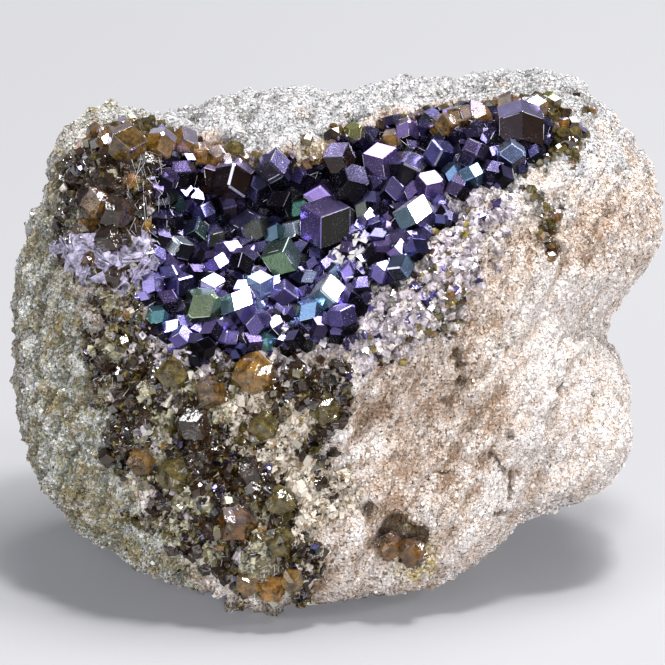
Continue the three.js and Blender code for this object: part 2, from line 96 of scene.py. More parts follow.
RAINBOW_CRYSTALS = crystal_table([
    # the large ones in the middle
    (-0.2, 7.5, 3.7, "giant", "rhomb", 14, -4, 55), (-5.8, 7.2, 2.5, "slate", "rhomb", 8, -12, 70),
    (-3.7, 5.0, 2.7, "moss", "rhomb", -6, -8, 160), (1.3, 10.5, 2.7, "ink", "rhomb", 5, -25, 20),
    (3.4, 12.0, 2.5, "purple", "corner", 5, 10, 40), (5.3, 11.4, 2.6, "ink", "rhomb", 10, -20, 120),
    (6.0, 8.0, 2.6, "mirror", "rhomb", 8, 32, 75), (7.0, 10.2, 2.2, "purple", "corner", -15, 5, 15),
    (4.5, 9.9, 1.9, "lilac", "rhomb", -8, 18, 100), (7.6, 12.4, 2.2, "indigo", "corner", 10, 20, 0),
    (10.1, 12.4, 2.1, "plum", "tip", 0, 0, 20), (12.6, 12.4, 2.0, "sky", "rhomb", 4, 12, 0),
    (13.3, 14.6, 3.2, "crowned", "corner", 4, -28, 90),
    # along the front of the floor
    (0.0, 2.4, 2.6, "mirror", "rhomb", 6, 32, 95), (-6.5, 1.7, 2.4, "mirror", "rhomb", 8, 34, 60),
    (-9.0, 1.6, 2.7, "leaf", "rhomb", -8, 10, 40), (-5.1, 3.3, 1.9, "sky", "rhomb", 0, 40, 0),
    (-3.4, 2.4, 2.0, "violet", "corner", 0, 35, 90), (-1.5, 1.3, 1.9, "azure", "rhomb", -12, 10, 50),
    (0.8, 0.9, 2.0, "violet", "rhomb", 20, 15, 60), (-12.3, 1.1, 1.4, "teal", "rhomb", 0, 0, 45),
    (-10.7, 3.1, 2.0, "indigo", "corner", -10, 30, 30), (-8.4, 3.1, 1.9, "lilac", "rhomb", 5, 38, 0),
    (-11.5, 2.1, 1.8, "plum"), (-5.3, 0.6, 1.9, "violet"), (-7.4, -0.6, 1.6, "violet"),
    (-11.4, 0.0, 1.6, "indigo"),
    # the middle rows
    (-2.6, 7.0, 1.9, "ice", "rhomb", 25, 30, 55), (-4.2, 6.9, 1.7, "sea"),
    (-8.3, 6.7, 1.7, "slate", "rhomb", 0, -10, 50), (-9.6, 7.0, 2.0, "sea", "corner", -10, 10, 80),
    (-10.9, 5.7, 1.9, "ice", "rhomb", -28, 26, 110), (-6.3, 5.0, 1.8, "ink"), (-11.5, 4.0, 1.6, "indigo"),
    (1.4, 4.2, 1.7, "violet"), (3.5, 4.1, 1.7, "violet"), (5.9, 5.9, 1.7, "indigo"),
    (4.8, 4.6, 1.8, "steel"), (-0.5, 9.6, 2.5, "purple"), (-2.3, 8.8, 1.7, "emerald", "rhomb", -5, 0, 50),
    (-3.8, 9.2, 1.9, "ink"), (-7.1, 8.8, 1.9, "plum"), (-9.1, 8.3, 1.7, "indigo"), (-11.6, 7.9, 1.8, "ink"),
    # the shaded row under the rim
    (-5.3, 10.3, 1.9, "slate", "corner", 0, -10, 25), (-7.0, 10.9, 2.7, "crowned", "corner", -14, -18, 75),
    (-4.1, 11.6, 2.3, "ink"), (-1.9, 11.4, 1.7, "violet"), (-8.7, 10.8, 2.0, "crowned"),
    (-10.7, 11.2, 1.9, "plum"), (0.4, 12.3, 2.2, "crowned", "corner", 10, 5, 60),
    (5.3, 14.3, 1.7, "purple"), (9.0, 10.2, 1.6, "plum"), (9.9, 11.0, 1.6, "azure"),
    # honey garnets along the rim
    (-14.4, 13.2, 2.6, "cognac", "corner", 10, -15, 20),
    (-12.2, 13.4, 2.0, "topped", "corner", -10, -20, 70), (-10.7, 13.3, 1.9, "topped", "rhomb", 5, -30, 10),
    (-9.4, 12.6, 1.7, "amber"), (-8.1, 12.5, 1.6, "amber"), (1.6, 14.1, 1.5, "lime", "rhomb", 0, 0, 50),
    (4.2, 13.6, 1.5, "amber"), (8.0, 14.6, 1.8, "amber"), (9.1, 15.2, 1.7, "amber"),
    (10.5, 15.2, 1.6, "amber"), (12.6, 15.9, 1.8, "amber"), (14.5, 16.0, 1.7, "topped", "rhomb", 0, 30, 0),
])
RAINBOW_SEED = 11
WALL_CRYSTALS = crystal_table([
    (-16.2, 10.6, 1.7), (-16.6, 8.9, 2.2), (-15.2, 8.5, 2.1), (-17.4, 7.2, 1.7), (-15.7, 6.6, 1.8),
    (-16.9, 5.0, 1.5), (-15.2, 3.9, 1.6),
])
WALL_SEED = 23
FLANK_CRYSTALS = crystal_table([
    (-5.4, -2.9, 2.6, "bare"), (-0.4, -5.4, 2.0), (-8.6, -4.2, 2.0), (-11.2, -3.0, 1.9), (-9.8, -6.6, 2.2),
    (-4.8, -6.6, 1.9), (-13.4, -9.0, 1.8), (-11.0, -10.0, 2.3), (-5.9, -9.8, 1.9), (-3.6, -11.8, 2.0),
    (-6.7, -13.4, 2.3), (-3.8, -14.6, 2.0),
])
FLANK_SEED = 37
FOOT_CRYSTALS = crystal_table([
    (-5.9, -17.6, 1.7), (-4.3, -17.9, 1.8), (-2.9, -17.3, 1.6),
])
FOOT_SEED = 41
POCKET_CRYSTALS = crystal_table([
    (4.0, -15.0, 1.7, "cognac", "corner", -25, -20, 30), (5.6, -15.5, 1.8, "cognac", "corner", 20, -25, 0),
])
POCKET_SEED = 53

# How high a crystal's middle stands off the rock: the bed that it grew on, and a share of its size.
BED_HEIGHT = 0.8
PROUD = 0.12
# Seeds of what is strewn, the sugary grains' for the first of their sides.
SUGAR_SEED, SMALL_SEED, BROKEN_SEED, CRUMB_SEED, FIBRE_SEED = 100, 7, 8, 12, 21
# Up to these heights over the floor the stone is pressed flat, bears no grains and bears no broken garnet.
FLAT_BELOW, BARE_BELOW, UNBROKEN_BELOW = 0.3, 0.9, 1.8

# How each look colours a crystal: the clear garnet of its body, then the film on faces that look up, left,
# right (or at the viewer) and down. A film's fourth number is how far it covers the face: 0 leaves it bare.
# Their hue differs from way to way, but up-facing films are mostly painted lighter and down-facing ones
# darker, near-black in most looks: painted light and shade by the way a face looks.
WARM_SIDES = ((0.3, 0.12, 0.02, 0), (0.3, 0.12, 0.02, 0), (0.2, 0.08, 0.02, 0))
DULL_SIDES = ((0.1, 0.08, 0.06, 0), (0.1, 0.08, 0.06, 0), (0.05, 0.04, 0.03, 0))
CLOUDY = ((0.5, 0.5, 0.5, 0.1), (0.3, 0.3, 0.3, 0.05), (0.3, 0.3, 0.3, 0.05), (0.1, 0.1, 0.1, 0))
LOOKS = {
    "crowned": (
        "brown", (0.36, 0.28, 0.72, 1), (0.016, 0.008, 0.012, 0.94), (0.022, 0.009, 0.006, 0.9),
        (0.01, 0.005, 0.004, 0.6),
    ),
    "topped": ("honey", (0.62, 0.54, 0.8, 0.92), *[(0.3, 0.12, 0.02, 0.1)] * 2, WARM_SIDES[2]),
    "amber": ("honey", (0.6, 0.52, 0.62, 0.38), *WARM_SIDES),
    "bare": ("honey", (0.5, 0.4, 0.4, 0.04), *WARM_SIDES),
    "cognac": ("cognac", (0.55, 0.48, 0.6, 0.3), *WARM_SIDES),
    "lime": (
        "olive", (0.4, 0.45, 0.08, 0.7), (0.3, 0.32, 0.04, 0.5), (0.36, 0.36, 0.04, 0.6),
        (0.2, 0.15, 0.02, 0),
    ),
    "smoky": ("brown", (0.2, 0.18, 0.2, 0.05), *DULL_SIDES),
    "olive": ("olive", (0.2, 0.18, 0.2, 0.03), *DULL_SIDES),
    "glint": (
        "brown", (0.6, 0.65, 0.75, 0.9), (0.3, 0.3, 0.4, 0.5), (0.1, 0.1, 0.14, 0.3), (0.1, 0.08, 0.05, 0),
    ),
    "mist": (
        "haze", (0.5, 0.46, 0.6, 0.3), (0.3, 0.28, 0.4, 0.3), (0.28, 0.26, 0.36, 0.25), (0.1, 0.09, 0.1, 0.2),
    ),
    "plate": ("plum", (0.45, 0.42, 0.55, 0.35), *[(0.3, 0.27, 0.4, 0.3)] * 2, (0.1, 0.09, 0.12, 0.3)),
    "sand": ("sand", *CLOUDY),
    "cream": ("cream", *CLOUDY),
}
# Looks whose films cover honey garnet whole, for the same four ways.
COVERED_LOOKS = {
    "giant": ((0.16, 0.1, 0.42), (0.2, 0.11, 0.55), (0.11, 0.105, 0.085), (0.01, 0.008, 0.01)),
    "violet": ((0.2, 0.15, 0.6), (0.09, 0.055, 0.33), (0.05, 0.03, 0.17), (0.01, 0.008, 0.015)),
    "lilac": ((0.32, 0.28, 0.66), (0.18, 0.13, 0.45), (0.1, 0.07, 0.28), (0.012, 0.01, 0.02)),
    "purple": ((0.2, 0.11, 0.44), (0.13, 0.065, 0.31), (0.11, 0.055, 0.27), (0.01, 0.007, 0.01)),
    "plum": ((0.11, 0.065, 0.27), (0.03, 0.018, 0.07), (0.02, 0.012, 0.045), (0.01, 0.006, 0.01)),
    "indigo": ((0.09, 0.08, 0.4), (0.035, 0.03, 0.18), (0.018, 0.017, 0.09), (0.006, 0.006, 0.02)),
    "ink": ((0.1, 0.08, 0.26), (0.012, 0.009, 0.018), (0.01, 0.007, 0.013), (0.006, 0.005, 0.006)),
    "slate": ((0.12, 0.1, 0.38), (0.07, 0.06, 0.2), (0.085, 0.1, 0.075), (0.01, 0.01, 0.01)),
    "moss": ((0.06, 0.11, 0.1), (0.04, 0.085, 0.06), (0.055, 0.115, 0.055), (0.006, 0.012, 0.01)),
    "leaf": ((0.22, 0.38, 0.24), (0.24, 0.36, 0.18), (0.28, 0.4, 0.19), (0.08, 0.1, 0.08)),
    "emerald": ((0.05, 0.22, 0.2), (0.03, 0.18, 0.12), (0.025, 0.17, 0.11), (0.006, 0.03, 0.02)),
    "sea": ((0.08, 0.09, 0.38), (0.05, 0.13, 0.22), (0.03, 0.1, 0.09), (0.006, 0.012, 0.012)),
    "teal": ((0.09, 0.4, 0.5), (0.07, 0.36, 0.42), (0.06, 0.36, 0.42), (0.012, 0.06, 0.07)),
    "azure": ((0.14, 0.32, 0.6), (0.1, 0.28, 0.5), (0.06, 0.17, 0.36), (0.012, 0.03, 0.06)),
    "steel": ((0.14, 0.22, 0.4), (0.07, 0.13, 0.23), (0.06, 0.12, 0.22), (0.012, 0.02, 0.03)),
    "sky": ((0.36, 0.46, 0.86), (0.18, 0.28, 0.6), (0.14, 0.22, 0.5), (0.02, 0.02, 0.04)),
    "ice": ((0.55, 0.72, 0.9), (0.5, 0.68, 0.9), (0.015, 0.015, 0.025), (0.006, 0.006, 0.01)),
    "mirror": ((0.95, 0.96, 1), (0.14, 0.3, 0.42), (0.1, 0.07, 0.26), (0.012, 0.01, 0.02)),
}
LOOKS.update({look: ("honey", *[(*film, 1) for film in films]) for look, films in COVERED_LOOKS.items()})

# How far films turn grey, and the painted highlight that some narrow faces on edges take.
FILM_GREY = 0.35
PAINTED_EDGE_HIGHLIGHT = (0.45, 0.43, 0.55, 1)
# Bodies that age unevenly towards olive, and how far the most aged one goes.
AGING_BODIES = ("honey", "cognac")
MOST_AGED = 0.6

# Looks of the small crystals of each part, with how common each is.
HOLLOW_LOOKS = {
    "violet": 5, "plum": 6, "indigo": 4, "ink": 7, "purple": 4, "lilac": 1.5, "slate": 3, "sea": 0.7,
    "azure": 0.4, "steel": 0.6, "emerald": 0.3, "ice": 0.4, "moss": 0.7,
}
# Lighter looks for the hollow's floor, where light falls: partly painted light.
FLOOR_LOOKS = {
    "violet": 5, "lilac": 4, "indigo": 4, "azure": 1.4, "sky": 0.9, "plum": 3, "ink": 5, "teal": 0.3,
    "slate": 1, "ice": 0.5,
}
RIM_LOOKS = {"amber": 2.5, "cognac": 2, "topped": 0.8, "lime": 0.4, "olive": 5, "crowned": 0.5, "smoky": 4}
MIST_LOOKS = {"mist": 9, "cream": 2, "lilac": 0.3, "violet": 0.25, "olive": 0.6, "smoky": 0.4}
AMBER_LOOKS = {"amber": 2, "olive": 6, "smoky": 2, "cream": 2}
FLANK_LOOKS = {"smoky": 14, "olive": 1.2, "glint": 0.6, "slate": 1.2}
PATCH_LOOKS = {"smoky": 3, "olive": 4, "sand": 4.5, "cream": 0.5, "mist": 0.7, "amber": 1}
CRUMB_LOOKS = {"smoky": 5, "olive": 3, "glint": 1, "sand": 2}
CLOUDY_LOOKS = ["cream", "mist", "sand"]

# ----------------------------------------------------------------------------------------------------------
# Kinds of rock on the face

# A zone is a closed outline or an open line in u, v. It reaches past that line, with a ragged and soft edge.
Zone = namedtuple("Zone", "kind reach ragged soft points")

ZONES = {
    "hollow": Zone("outline", 0.1, 0.6, 0.3, [
        (-12.6, 12.2), (-9.1, 11.5), (-5.9, 11.1), (-2.3, 12.0), (0.9, 13.1), (4.9, 14.4), (8.5, 15.0),
        (11.4, 15.4), (14.4, 15.2), (14.9, 13.6), (13.5, 12.0), (11.6, 10.5), (9.2, 10.7), (8.3, 10.0),
        (8.0, 8.2), (7.3, 6.4), (6.2, 4.7), (4.0, 3.4), (1.9, 2.0), (0.9, -0.2), (-4.5, -1.2), (-9.1, -1.2),
        (-12.0, -0.2), (-13.1, 2.3), (-13.0, 6.6),
    ]),
    "rim": Zone("line", 0.45, 0.8, 0.4, [
        (-16.2, 13.4), (-13.1, 13.9), (-9.5, 12.9), (-5.5, 11.9), (-2.0, 12.6), (1.6, 14.0), (5.0, 15.0),
        (9.0, 15.7), (13.0, 16.0), (15.8, 15.2), (17.2, 13.8),
    ]),
    "amber": Zone("line", 0, 2.0, 0.4, [
        (18.2, 15.6), (17.2, 13.4), (13.4, 10.6), (15.4, 8.4), (15.6, 5.6),
    ]),
    "ooze": Zone("line", 0, 2.0, 0.4, [(5.6, 3.2), (7.2, 4.2), (8.4, 3.4), (7.6, 0.8)]),
    "pocket": Zone("line", 0.3, 0.9, 0.4, [(5.2, -13.6), (6.6, -14.2), (6.8, -16.6), (4.4, -16.4)]),
    "wall": Zone("outline", 0.1, 1.0, 0.4, [
        (-18.6, 11.8), (-16.0, 12.6), (-12.6, 12.2), (-13.0, 6.6), (-13.6, 3.6), (-18.0, 3.4), (-18.6, 7.0),
    ]),
    "plates": Zone("outline", 0, 0.8, 0.3, [(-18.4, 6.4), (-13.4, 6.8), (-13.0, 3.8), (-17.6, 3.9)]),
    "flank": Zone("outline", 0, 3.0, 0.6, [
        (-16.8, 3.4), (-13.1, 2.2), (-12.4, -0.6), (0.8, -1.4), (1.3, -4.8), (-0.6, -7.1), (-0.2, -12.1),
        (-1.6, -16.0), (-2.6, -18.2), (-6.4, -18.0), (-9.4, -15.2), (-12.7, -12.2), (-14.8, -7.1),
        (-16.0, -2.0),
    ]),
    "calcite": Zone("line", 1.9, 3.2, 0.4, [
        (-5.6, -4.6), (-3.4, -6.0), (-3.2, -8.4), (-1.8, -10.2), (-0.6, -12.4),
    ]),
    "mist": Zone("line", 0.7, 2.3, 1.1, [
        (-12.6, -1.0), (-8.5, -1.7), (-4.5, -1.8), (0.0, -1.6), (1.9, -0.2), (2.8, 1.4), (5.0, 2.7),
        (7.2, 4.2), (8.4, 6.4), (9.6, 9.4), (10.8, 8.6), (9.8, 5.4), (7.8, 2.8), (5.0, 0.6), (2.6, -1.6),
    ]),
    "left": Zone("outline", 0, 2.6, 0.9, [
        (-12.6, 17.0), (-15.0, 14.2), (-17.4, 12.2), (-18.4, 9.5), (-18.8, 6.0), (-17.0, 2.0),
        (-16.0, -2.0), (-14.6, -7.0), (-13.6, -11.0), (-10.5, -15.0), (-9.0, -19.5), (-26.0, -19.5),
        (-26.0, 10.0),
    ]),
    "pale": Zone("outline", 0, 2.4, 1.2, [
        (14.5, 5.0), (20.5, 4.0), (25.0, -3.0), (25.0, -14.0), (12.0, -19.0), (8.0, -16.5), (10.6, -9.0),
        (12.2, -2.0),
    ]),
    "ridge": Zone("line", 0.5, 1.4, 0.6, [
        (18.9, 0.4), (14.5, -3.7), (14.5, -6.9), (13.9, -10.2), (12.1, -12.6),
    ]),
    "streak": Zone("line", 0.35, 1.4, 0.6, [(16.1, 0.3), (10.4, -3.7), (7.1, -10.2), (6.5, -13.4)]),
    "stain": Zone("line", 0.7, 3.0, 0.9, [
        (7.4, -5.4), (11.6, -5.6), (8.6, -8.4), (3.4, -9.6), (5.0, -14.0),
    ]),
}

# Small pits: u, v, radius and depth.
PITS = [
    (8.9, -1.5, 0.35, 0.5), (9.1, -2.3, 0.45, 0.5), (9.1, -3.4, 0.4, 0.5), (7.8, -4.8, 0.2, 0.3),
    (12.5, -7.3, 0.3, 0.5), (2.6, -12.4, 0.6, 0.7), (4.4, -14.0, 1.2, 1.0), (5.9, -14.2, 0.8, 0.8),
    (15.2, 7.4, 0.7, 0.9), (15.6, 5.9, 0.6, 0.8), (18.5, -4.4, 0.2, 0.4),
]
# Fine cracks as open lines in u, v, and how far they reach to each side.
CRACKS = [
    [(11.2, -8.5), (11.7, -9.0), (12.1, -9.7)],
    [(12.7, -9.9), (12.5, -10.7), (12.3, -11.7)],
    [(11.3, -12.7), (12.0, -12.7), (12.9, -12.8)],
    [(7.3, -9.7), (7.8, -9.8), (8.2, -9.7)],
    [(16.2, -3.6), (15.8, -4.4), (15.6, -5.3)],
]
CRACK_WIDTH = 0.14
CRACK_DEPTH = 0.3
# Pits and cracks are cut only in what lies before this depth, so that they don't reach the rear.
FACE_DEPTH = -6
# How far the bed under each kind of crystal, and each ridge of the rock, stands up.
BEDS = {"hollow": 0.5, "flank": 0.7, "wall": 0.5, "rim": 0.3}
RIDGES = {"ridge": 0.45, "streak": 0.3}
# A white film on the floor of the hollow: its middle u, v and its reach.
FILM = (1.9, 4.8)
FILM_REACH = 1.7
# The rock's grain runs up to the right by this angle in the front frame, and its streaks are this drawn out.
STRIATION = math.radians(62)
STREAK_STRETCH = 4.5
ALONG_GRAIN = (math.cos(STRIATION), math.sin(STRIATION), 0)
ACROSS_GRAIN = (-math.sin(STRIATION), math.cos(STRIATION), 0)

# Rock with two tones: where and how softly the level of a grain parts them, the dark tone and the light one.
TWO_TONED = {
    "calcite": (0.1, 0.12, (0.19, 0.125, 0.05), (0.54, 0.48, 0.41)),
    "rim": (0.3, 0.15, (0.2, 0.13, 0.05), (0.56, 0.5, 0.38)),
    "wall": (0.42, 0.08, (0.03, 0.019, 0.012), (0.26, 0.23, 0.24)),
    "plates": (0.3, 0.12, (0.24, 0.21, 0.27), (0.52, 0.49, 0.58)),
    "mist": (0.25, 0.15, (0.3, 0.255, 0.295), (0.6, 0.55, 0.6)),
}
# Painted shade: the rock of the hollow, between its crystals, is near-black.
HOLLOW_SHADE = (0.02, 0.014, 0.02)
# Painted shade in pits and cracks.
PIT_SHADE = (0.07, 0.04, 0.018)

# Lights, which all aim at LIGHTS_AIM: place in metres, size, power and colour.
LIGHTS = {
    "overhead": ((0.12, 0.16, 0.6), 0.34, 5.0, (1, 1, 1)),
    "key": ((0.085, -0.03, 0.49), 0.08, 2.4, (1, 0.99, 0.97)),
    "right": ((0.55, -0.1, 0.3), 0.12, 2.0, (1, 0.98, 0.97)),
    "left": ((-0.42, -0.5, 0.16), 0.7, 3.4, (0.97, 0.98, 1)),
    "low": ((0.12, -0.62, 0.12), 0.22, 3.8, (0.97, 0.985, 1)),
}
LIGHTS_AIM = (0, 0, 0.016)
STUDIO_AIR = (0.52, 0.53, 0.58, 1)

# ----------------------------------------------------------------------------------------------------------
# Settings that a user would change


def length_setting(name, description, millimetres):
    default = millimetres * MM
    return bpy.props.FloatProperty(name=name, description=description, default=default, unit="LENGTH")


def colour_setting(name, description, *default):
    return bpy.props.FloatVectorProperty(
        name=name, description=description, subtype="COLOR", size=3, default=default
    )


class StoneSettings(bpy.types.PropertyGroup):
    """Grain and colours of the rock"""

    cell: length_setting("Mesh cell", "Size of the rock's mesh cells", 0.3)
    striae: length_setting("Striae", "Height of the ridges along the rock's grain", 1.0)
    lumps: length_setting("Lumps", "Height of the broad lumps", 0.45)
    chips: length_setting("Chips", "Height of the chipped relief of the flank", 0.8)
    grain_size: length_setting("Grain size", "Size of a usual sugary grain", 0.165)
    buff: colour_setting("Buff", "Sugary rock of the face", 0.5, 0.41, 0.35)
    rust: colour_setting("Rust", "Brown stains in the buff rock", 0.31, 0.21, 0.145)
    chalk: colour_setting("Chalk", "Palest grains of the face", 0.61, 0.56, 0.535)
    sage: colour_setting("Sage", "Greenish rock of the left side", 0.19, 0.2, 0.165)
    umber: colour_setting("Umber", "Dark garnet-bearing rock", 0.028, 0.018, 0.01)


class GarnetSettings(bpy.types.PropertyGroup):
    """Crystal form and colours of clear garnet"""

    edge_cut: bpy.props.FloatProperty(
        name="Edge cut", description="Width of the narrow faces on a crystal's edges, as a share of its size",
        default=0.03, min=0, max=0.2,
    )
    refraction: bpy.props.FloatProperty(
        name="Refraction", description="Refractive index of garnet", default=1.88, min=1, max=3
    )
    honey: colour_setting("Honey", "Clear garnet of the hollow, the rim and the foot", 0.38, 0.17, 0.024)
    cognac: colour_setting("Cognac", "Darker clear garnet of rim, wall and pocket", 0.2, 0.085, 0.012)
    brown: colour_setting("Brown", "Garnet of the wall and the flank", 0.045, 0.02, 0.006)
    olive: colour_setting("Olive", "Pale garnet of the flank and the rim", 0.15, 0.112, 0.028)
    plum: colour_setting("Plum", "Plates on the left wall", 0.37, 0.335, 0.45)
    sand: colour_setting("Sand", "Cloudy crumbs of the flank", 0.25, 0.23, 0.15)
    haze: colour_setting("Haze", "Cloudy crumbs round the hollow", 0.4, 0.35, 0.37)
    cream: colour_setting("Cream", "Crumbs of calcite", 0.56, 0.5, 0.46)


class StageSettings(bpy.types.PropertyGroup):
    """Camera, lights and floor"""

    view_width: length_setting("View width", "Width of the view at the stone", 47.88)
    view_distance: bpy.props.FloatProperty(
        name="View distance", description="From the camera to the stone", default=0.6, unit="LENGTH"
    )
    floor_colour: colour_setting("Floor", "Colour of the floor", 0.25, 0.25, 0.26)


# ----------------------------------------------------------------------------------------------------------
# Materials


def arithmetic(operation, reflected=False):
    """A Python operator on a wire, which adds a Math node."""

    def apply(self, other):
        return self.math(operation, other, self) if reflected else self.math(operation, self, other)

    return apply


class Wire:
    """A value in a material's node tree."""

    def __init__(self, recipe, socket):
        self.recipe = recipe
        self.socket = socket

    def math(self, operation, *values):
        return self.recipe.node("ShaderNodeMath", {"operation": operation}, dict(enumerate(values)))

    __add__, __radd__ = arithmetic("ADD"), arithmetic("ADD", True)
    __sub__, __rsub__ = arithmetic("SUBTRACT"), arithmetic("SUBTRACT", True)
    __mul__, __rmul__ = arithmetic("MULTIPLY"), arithmetic("MULTIPLY", True)

    def over(self, threshold, softness):
        """0 below the threshold and 1 above it, with a soft step between."""
        settings = {"interpolation_type": "SMOOTHSTEP"}
        inputs = {"Value": self, "From Min": threshold - softness, "From Max": threshold + softness}
        return self.recipe.node("ShaderNodeMapRange", settings, inputs)


class Recipe:
    """A material under construction."""

    def __init__(self, name):
        self.material = bpy.data.materials.new(name)
        self.material.use_nodes = True
        self.tree = self.material.node_tree
        self.tree.nodes.clear()
        self.place = self.node("ShaderNodeTexCoord", {}, {}, "Object")
        self.drawn = self.place

    def node(self, kind, settings, inputs, output=0):
        node = self.tree.nodes.new(kind)
        for name, value in settings.items():
            setattr(node, name, value)
        for key, value in inputs.items():
            if isinstance(value, Wire):
                self.tree.links.new(value.socket, node.inputs[key])
            else:
                node.inputs[key].default_value = value
        return Wire(self, node.outputs[output])

    def draw_out(self, direction, factor):
        """Turns later drawn patterns along a direction and stretches them along it."""
        turn = direction.to_track_quat("X", "Z").to_euler()
        inputs = {"Vector": self.place, "Rotation": turn, "Scale": (factor, 1, 1)}
        self.drawn = self.node("ShaderNodeMapping", {"vector_type": "TEXTURE"}, inputs)

    def shifted(self, shift, place):
        """Coordinates moved aside, so that two noises of one size differ."""
        if not shift:
            return place
        return self.node("ShaderNodeVectorMath", {"operation": "ADD"}, {0: place, 1: (shift, shift, shift)})

    def noise(self, size, detail=2, roughness=0.5, shift=0, drawn=False):
        """Cloudy noise with features of a size in metres."""
        place = self.shifted(shift, self.drawn if drawn else self.place)
        inputs = {"Vector": place, "Scale": 1 / size, "Detail": detail, "Roughness": roughness}
        return self.node("ShaderNodeTexNoise", {}, inputs)

    def cells(self, size, output="Distance", shift=0, metric="EUCLIDEAN"):
        """Irregular cells of a size in metres."""
        inputs = {"Vector": self.shifted(shift, self.place), "Scale": 1 / size}
        return self.node("ShaderNodeTexVoronoi", {"distance": metric}, inputs, output)

    def cell_tones(self, size, shift=0):
        """A number from 0 to 1 for each irregular cell."""
        return self.node("ShaderNodeSeparateColor", {}, {0: self.cells(size, "Color", shift)})

    def fraction(self, value):
        """What is left of a value without its whole part."""
        return self.node("ShaderNodeMath", {"operation": "FRACT"}, {0: value})

    def mix(self, fac, a, b, blend="MIX"):
        """Colour a where fac is 0 and b where it is 1."""
        inputs = {0: fac, 6: self.colour(a), 7: self.colour(b)}
        return self.node("ShaderNodeMix", {"data_type": "RGBA", "blend_type": blend}, inputs, 2)

    def shade(self, colour, amount):
        """A colour times a number."""
        grey = self.node("ShaderNodeCombineColor", {}, {0: amount, 1: amount, 2: amount})
        return self.mix(1.0, colour, grey, "MULTIPLY")

    @staticmethod
    def colour(value):
        return value if isinstance(value, Wire) else (*value[:3], 1)

    def attribute(self, name, output="Fac"):
        return self.node("ShaderNodeAttribute", {"attribute_name": name}, {}, output)

    def bump(self, height, distance, strength, below=None):
        inputs = {"Height": height, "Distance": distance, "Strength": strength}
        if below is not None:
            inputs["Normal"] = below
        return self.node("ShaderNodeBump", {}, inputs)

    def principled(self, inputs):
        return self.node("ShaderNodeBsdfPrincipled", {}, inputs)

    def blend(self, fac, a, b):
        return self.node("ShaderNodeMixShader", {}, {0: fac, 1: a, 2: b})

    def finish(self, shader):
        output = self.tree.nodes.new("ShaderNodeOutputMaterial")
        self.tree.links.new(shader.socket, output.inputs["Surface"])
        return self.material


def rock_colour(r, settings, grain):
    """The rock's own colour, by the kinds of rock that its mesh carries and by a number for each grain."""
    r.draw_out(FRONT_TO_PART @ Vector(ALONG_GRAIN), STREAK_STRETCH)
    stains = r.noise(1.5 * MM, 4, 0.65, 0.3)
    mottle = r.noise(0.55 * MM, 3, 0.6, 0.7)
    crumbs = r.noise(0.3 * MM, 4, 0.75, 0.5, drawn=True)
    streaks = r.noise(1.8 * MM, 3, 0.6, 0.9, drawn=True)
    crest = r.attribute("crest")
    level = grain * 0.5 + (crumbs - 0.5) * 1.3
    # Crests of the relief painted lighter and its troughs darker, here and in the sage: painted light and
    # shade.
    sorted_level = level + (crest - 0.5) * 0.7 - (stains - 0.5) * 1.2

    bands = (r.attribute("ridge") + r.attribute("streak")) * 0.25 - r.attribute("stain") * 0.2
    # The pale zone, the right lobe, is painted lighter: partly its own paler rock, partly painted light from
    # the right.
    face_level = sorted_level + bands + r.attribute("pale") * 0.16
    face_level = face_level - (streaks - 0.5) * 0.95 - (grain - 0.5) * 0.2
    buff = r.mix(face_level.over(0.06, 0.18), settings.rust, settings.buff)
    buff = r.mix(face_level.over(0.43, 0.18), buff, settings.chalk)
    amber = r.mix(mottle.over(0.46, 0.06), (0.08, 0.05, 0.012), (0.36, 0.26, 0.08))
    amber = r.mix(level.over(0.28, 0.1), amber, (0.62, 0.56, 0.46))
    chalk = r.mix(sorted_level.over(0.14, 0.18), (0.19, 0.19, 0.18), (0.44, 0.435, 0.445))
    sage_level = level + (crest - 0.5) * 0.5 - (stains - 0.5) * 0.8
    sage = r.mix(sage_level.over(0.28, 0.14), settings.sage, (0.49, 0.49, 0.47))
    sage = r.mix(mottle.over(0.57, 0.06) * 0.6, sage, (0.3, 0.25, 0.08))
    sage = r.mix(stains.over(0.58, 0.06) * 0.7, sage, (0.12, 0.09, 0.04))
    sage = r.mix(r.attribute("patch") * (mottle.over(0.5, 0.08) * 0.5 + 0.35), sage, (0.24, 0.19, 0.09))
    umber = r.mix(mottle.over(0.56, 0.05), settings.umber, (0.2, 0.15, 0.04))
    pale_umber = r.mix(level.over(0.24, 0.1), (0.11, 0.095, 0.048), (0.34, 0.325, 0.265))
    umber = r.mix(r.attribute("patch"), umber, pale_umber)
    toned = {}
    for zone, (threshold, softness, dark, light) in TWO_TONED.items():
        toned[zone] = r.mix(level.over(threshold, softness), dark, light)
    mist = toned.pop("mist")

    # Each kind of rock lies over the ones before it.
    kinds = {"amber": amber, "ooze": amber, "top": chalk, "pocket": amber, "left": sage, "flank": umber}
    # In the hollow the rock takes its near-black painted shade.
    kinds |= {**toned, "hollow": HOLLOW_SHADE, "mist": mist}
    mixed = buff
    for zone, kind in kinds.items():
        mixed = r.mix(r.attribute(zone), mixed, kind)
    # Pits and cracks darkened: painted shade.
    return r.mix(r.attribute("pit") * 0.85, mixed, PIT_SHADE)


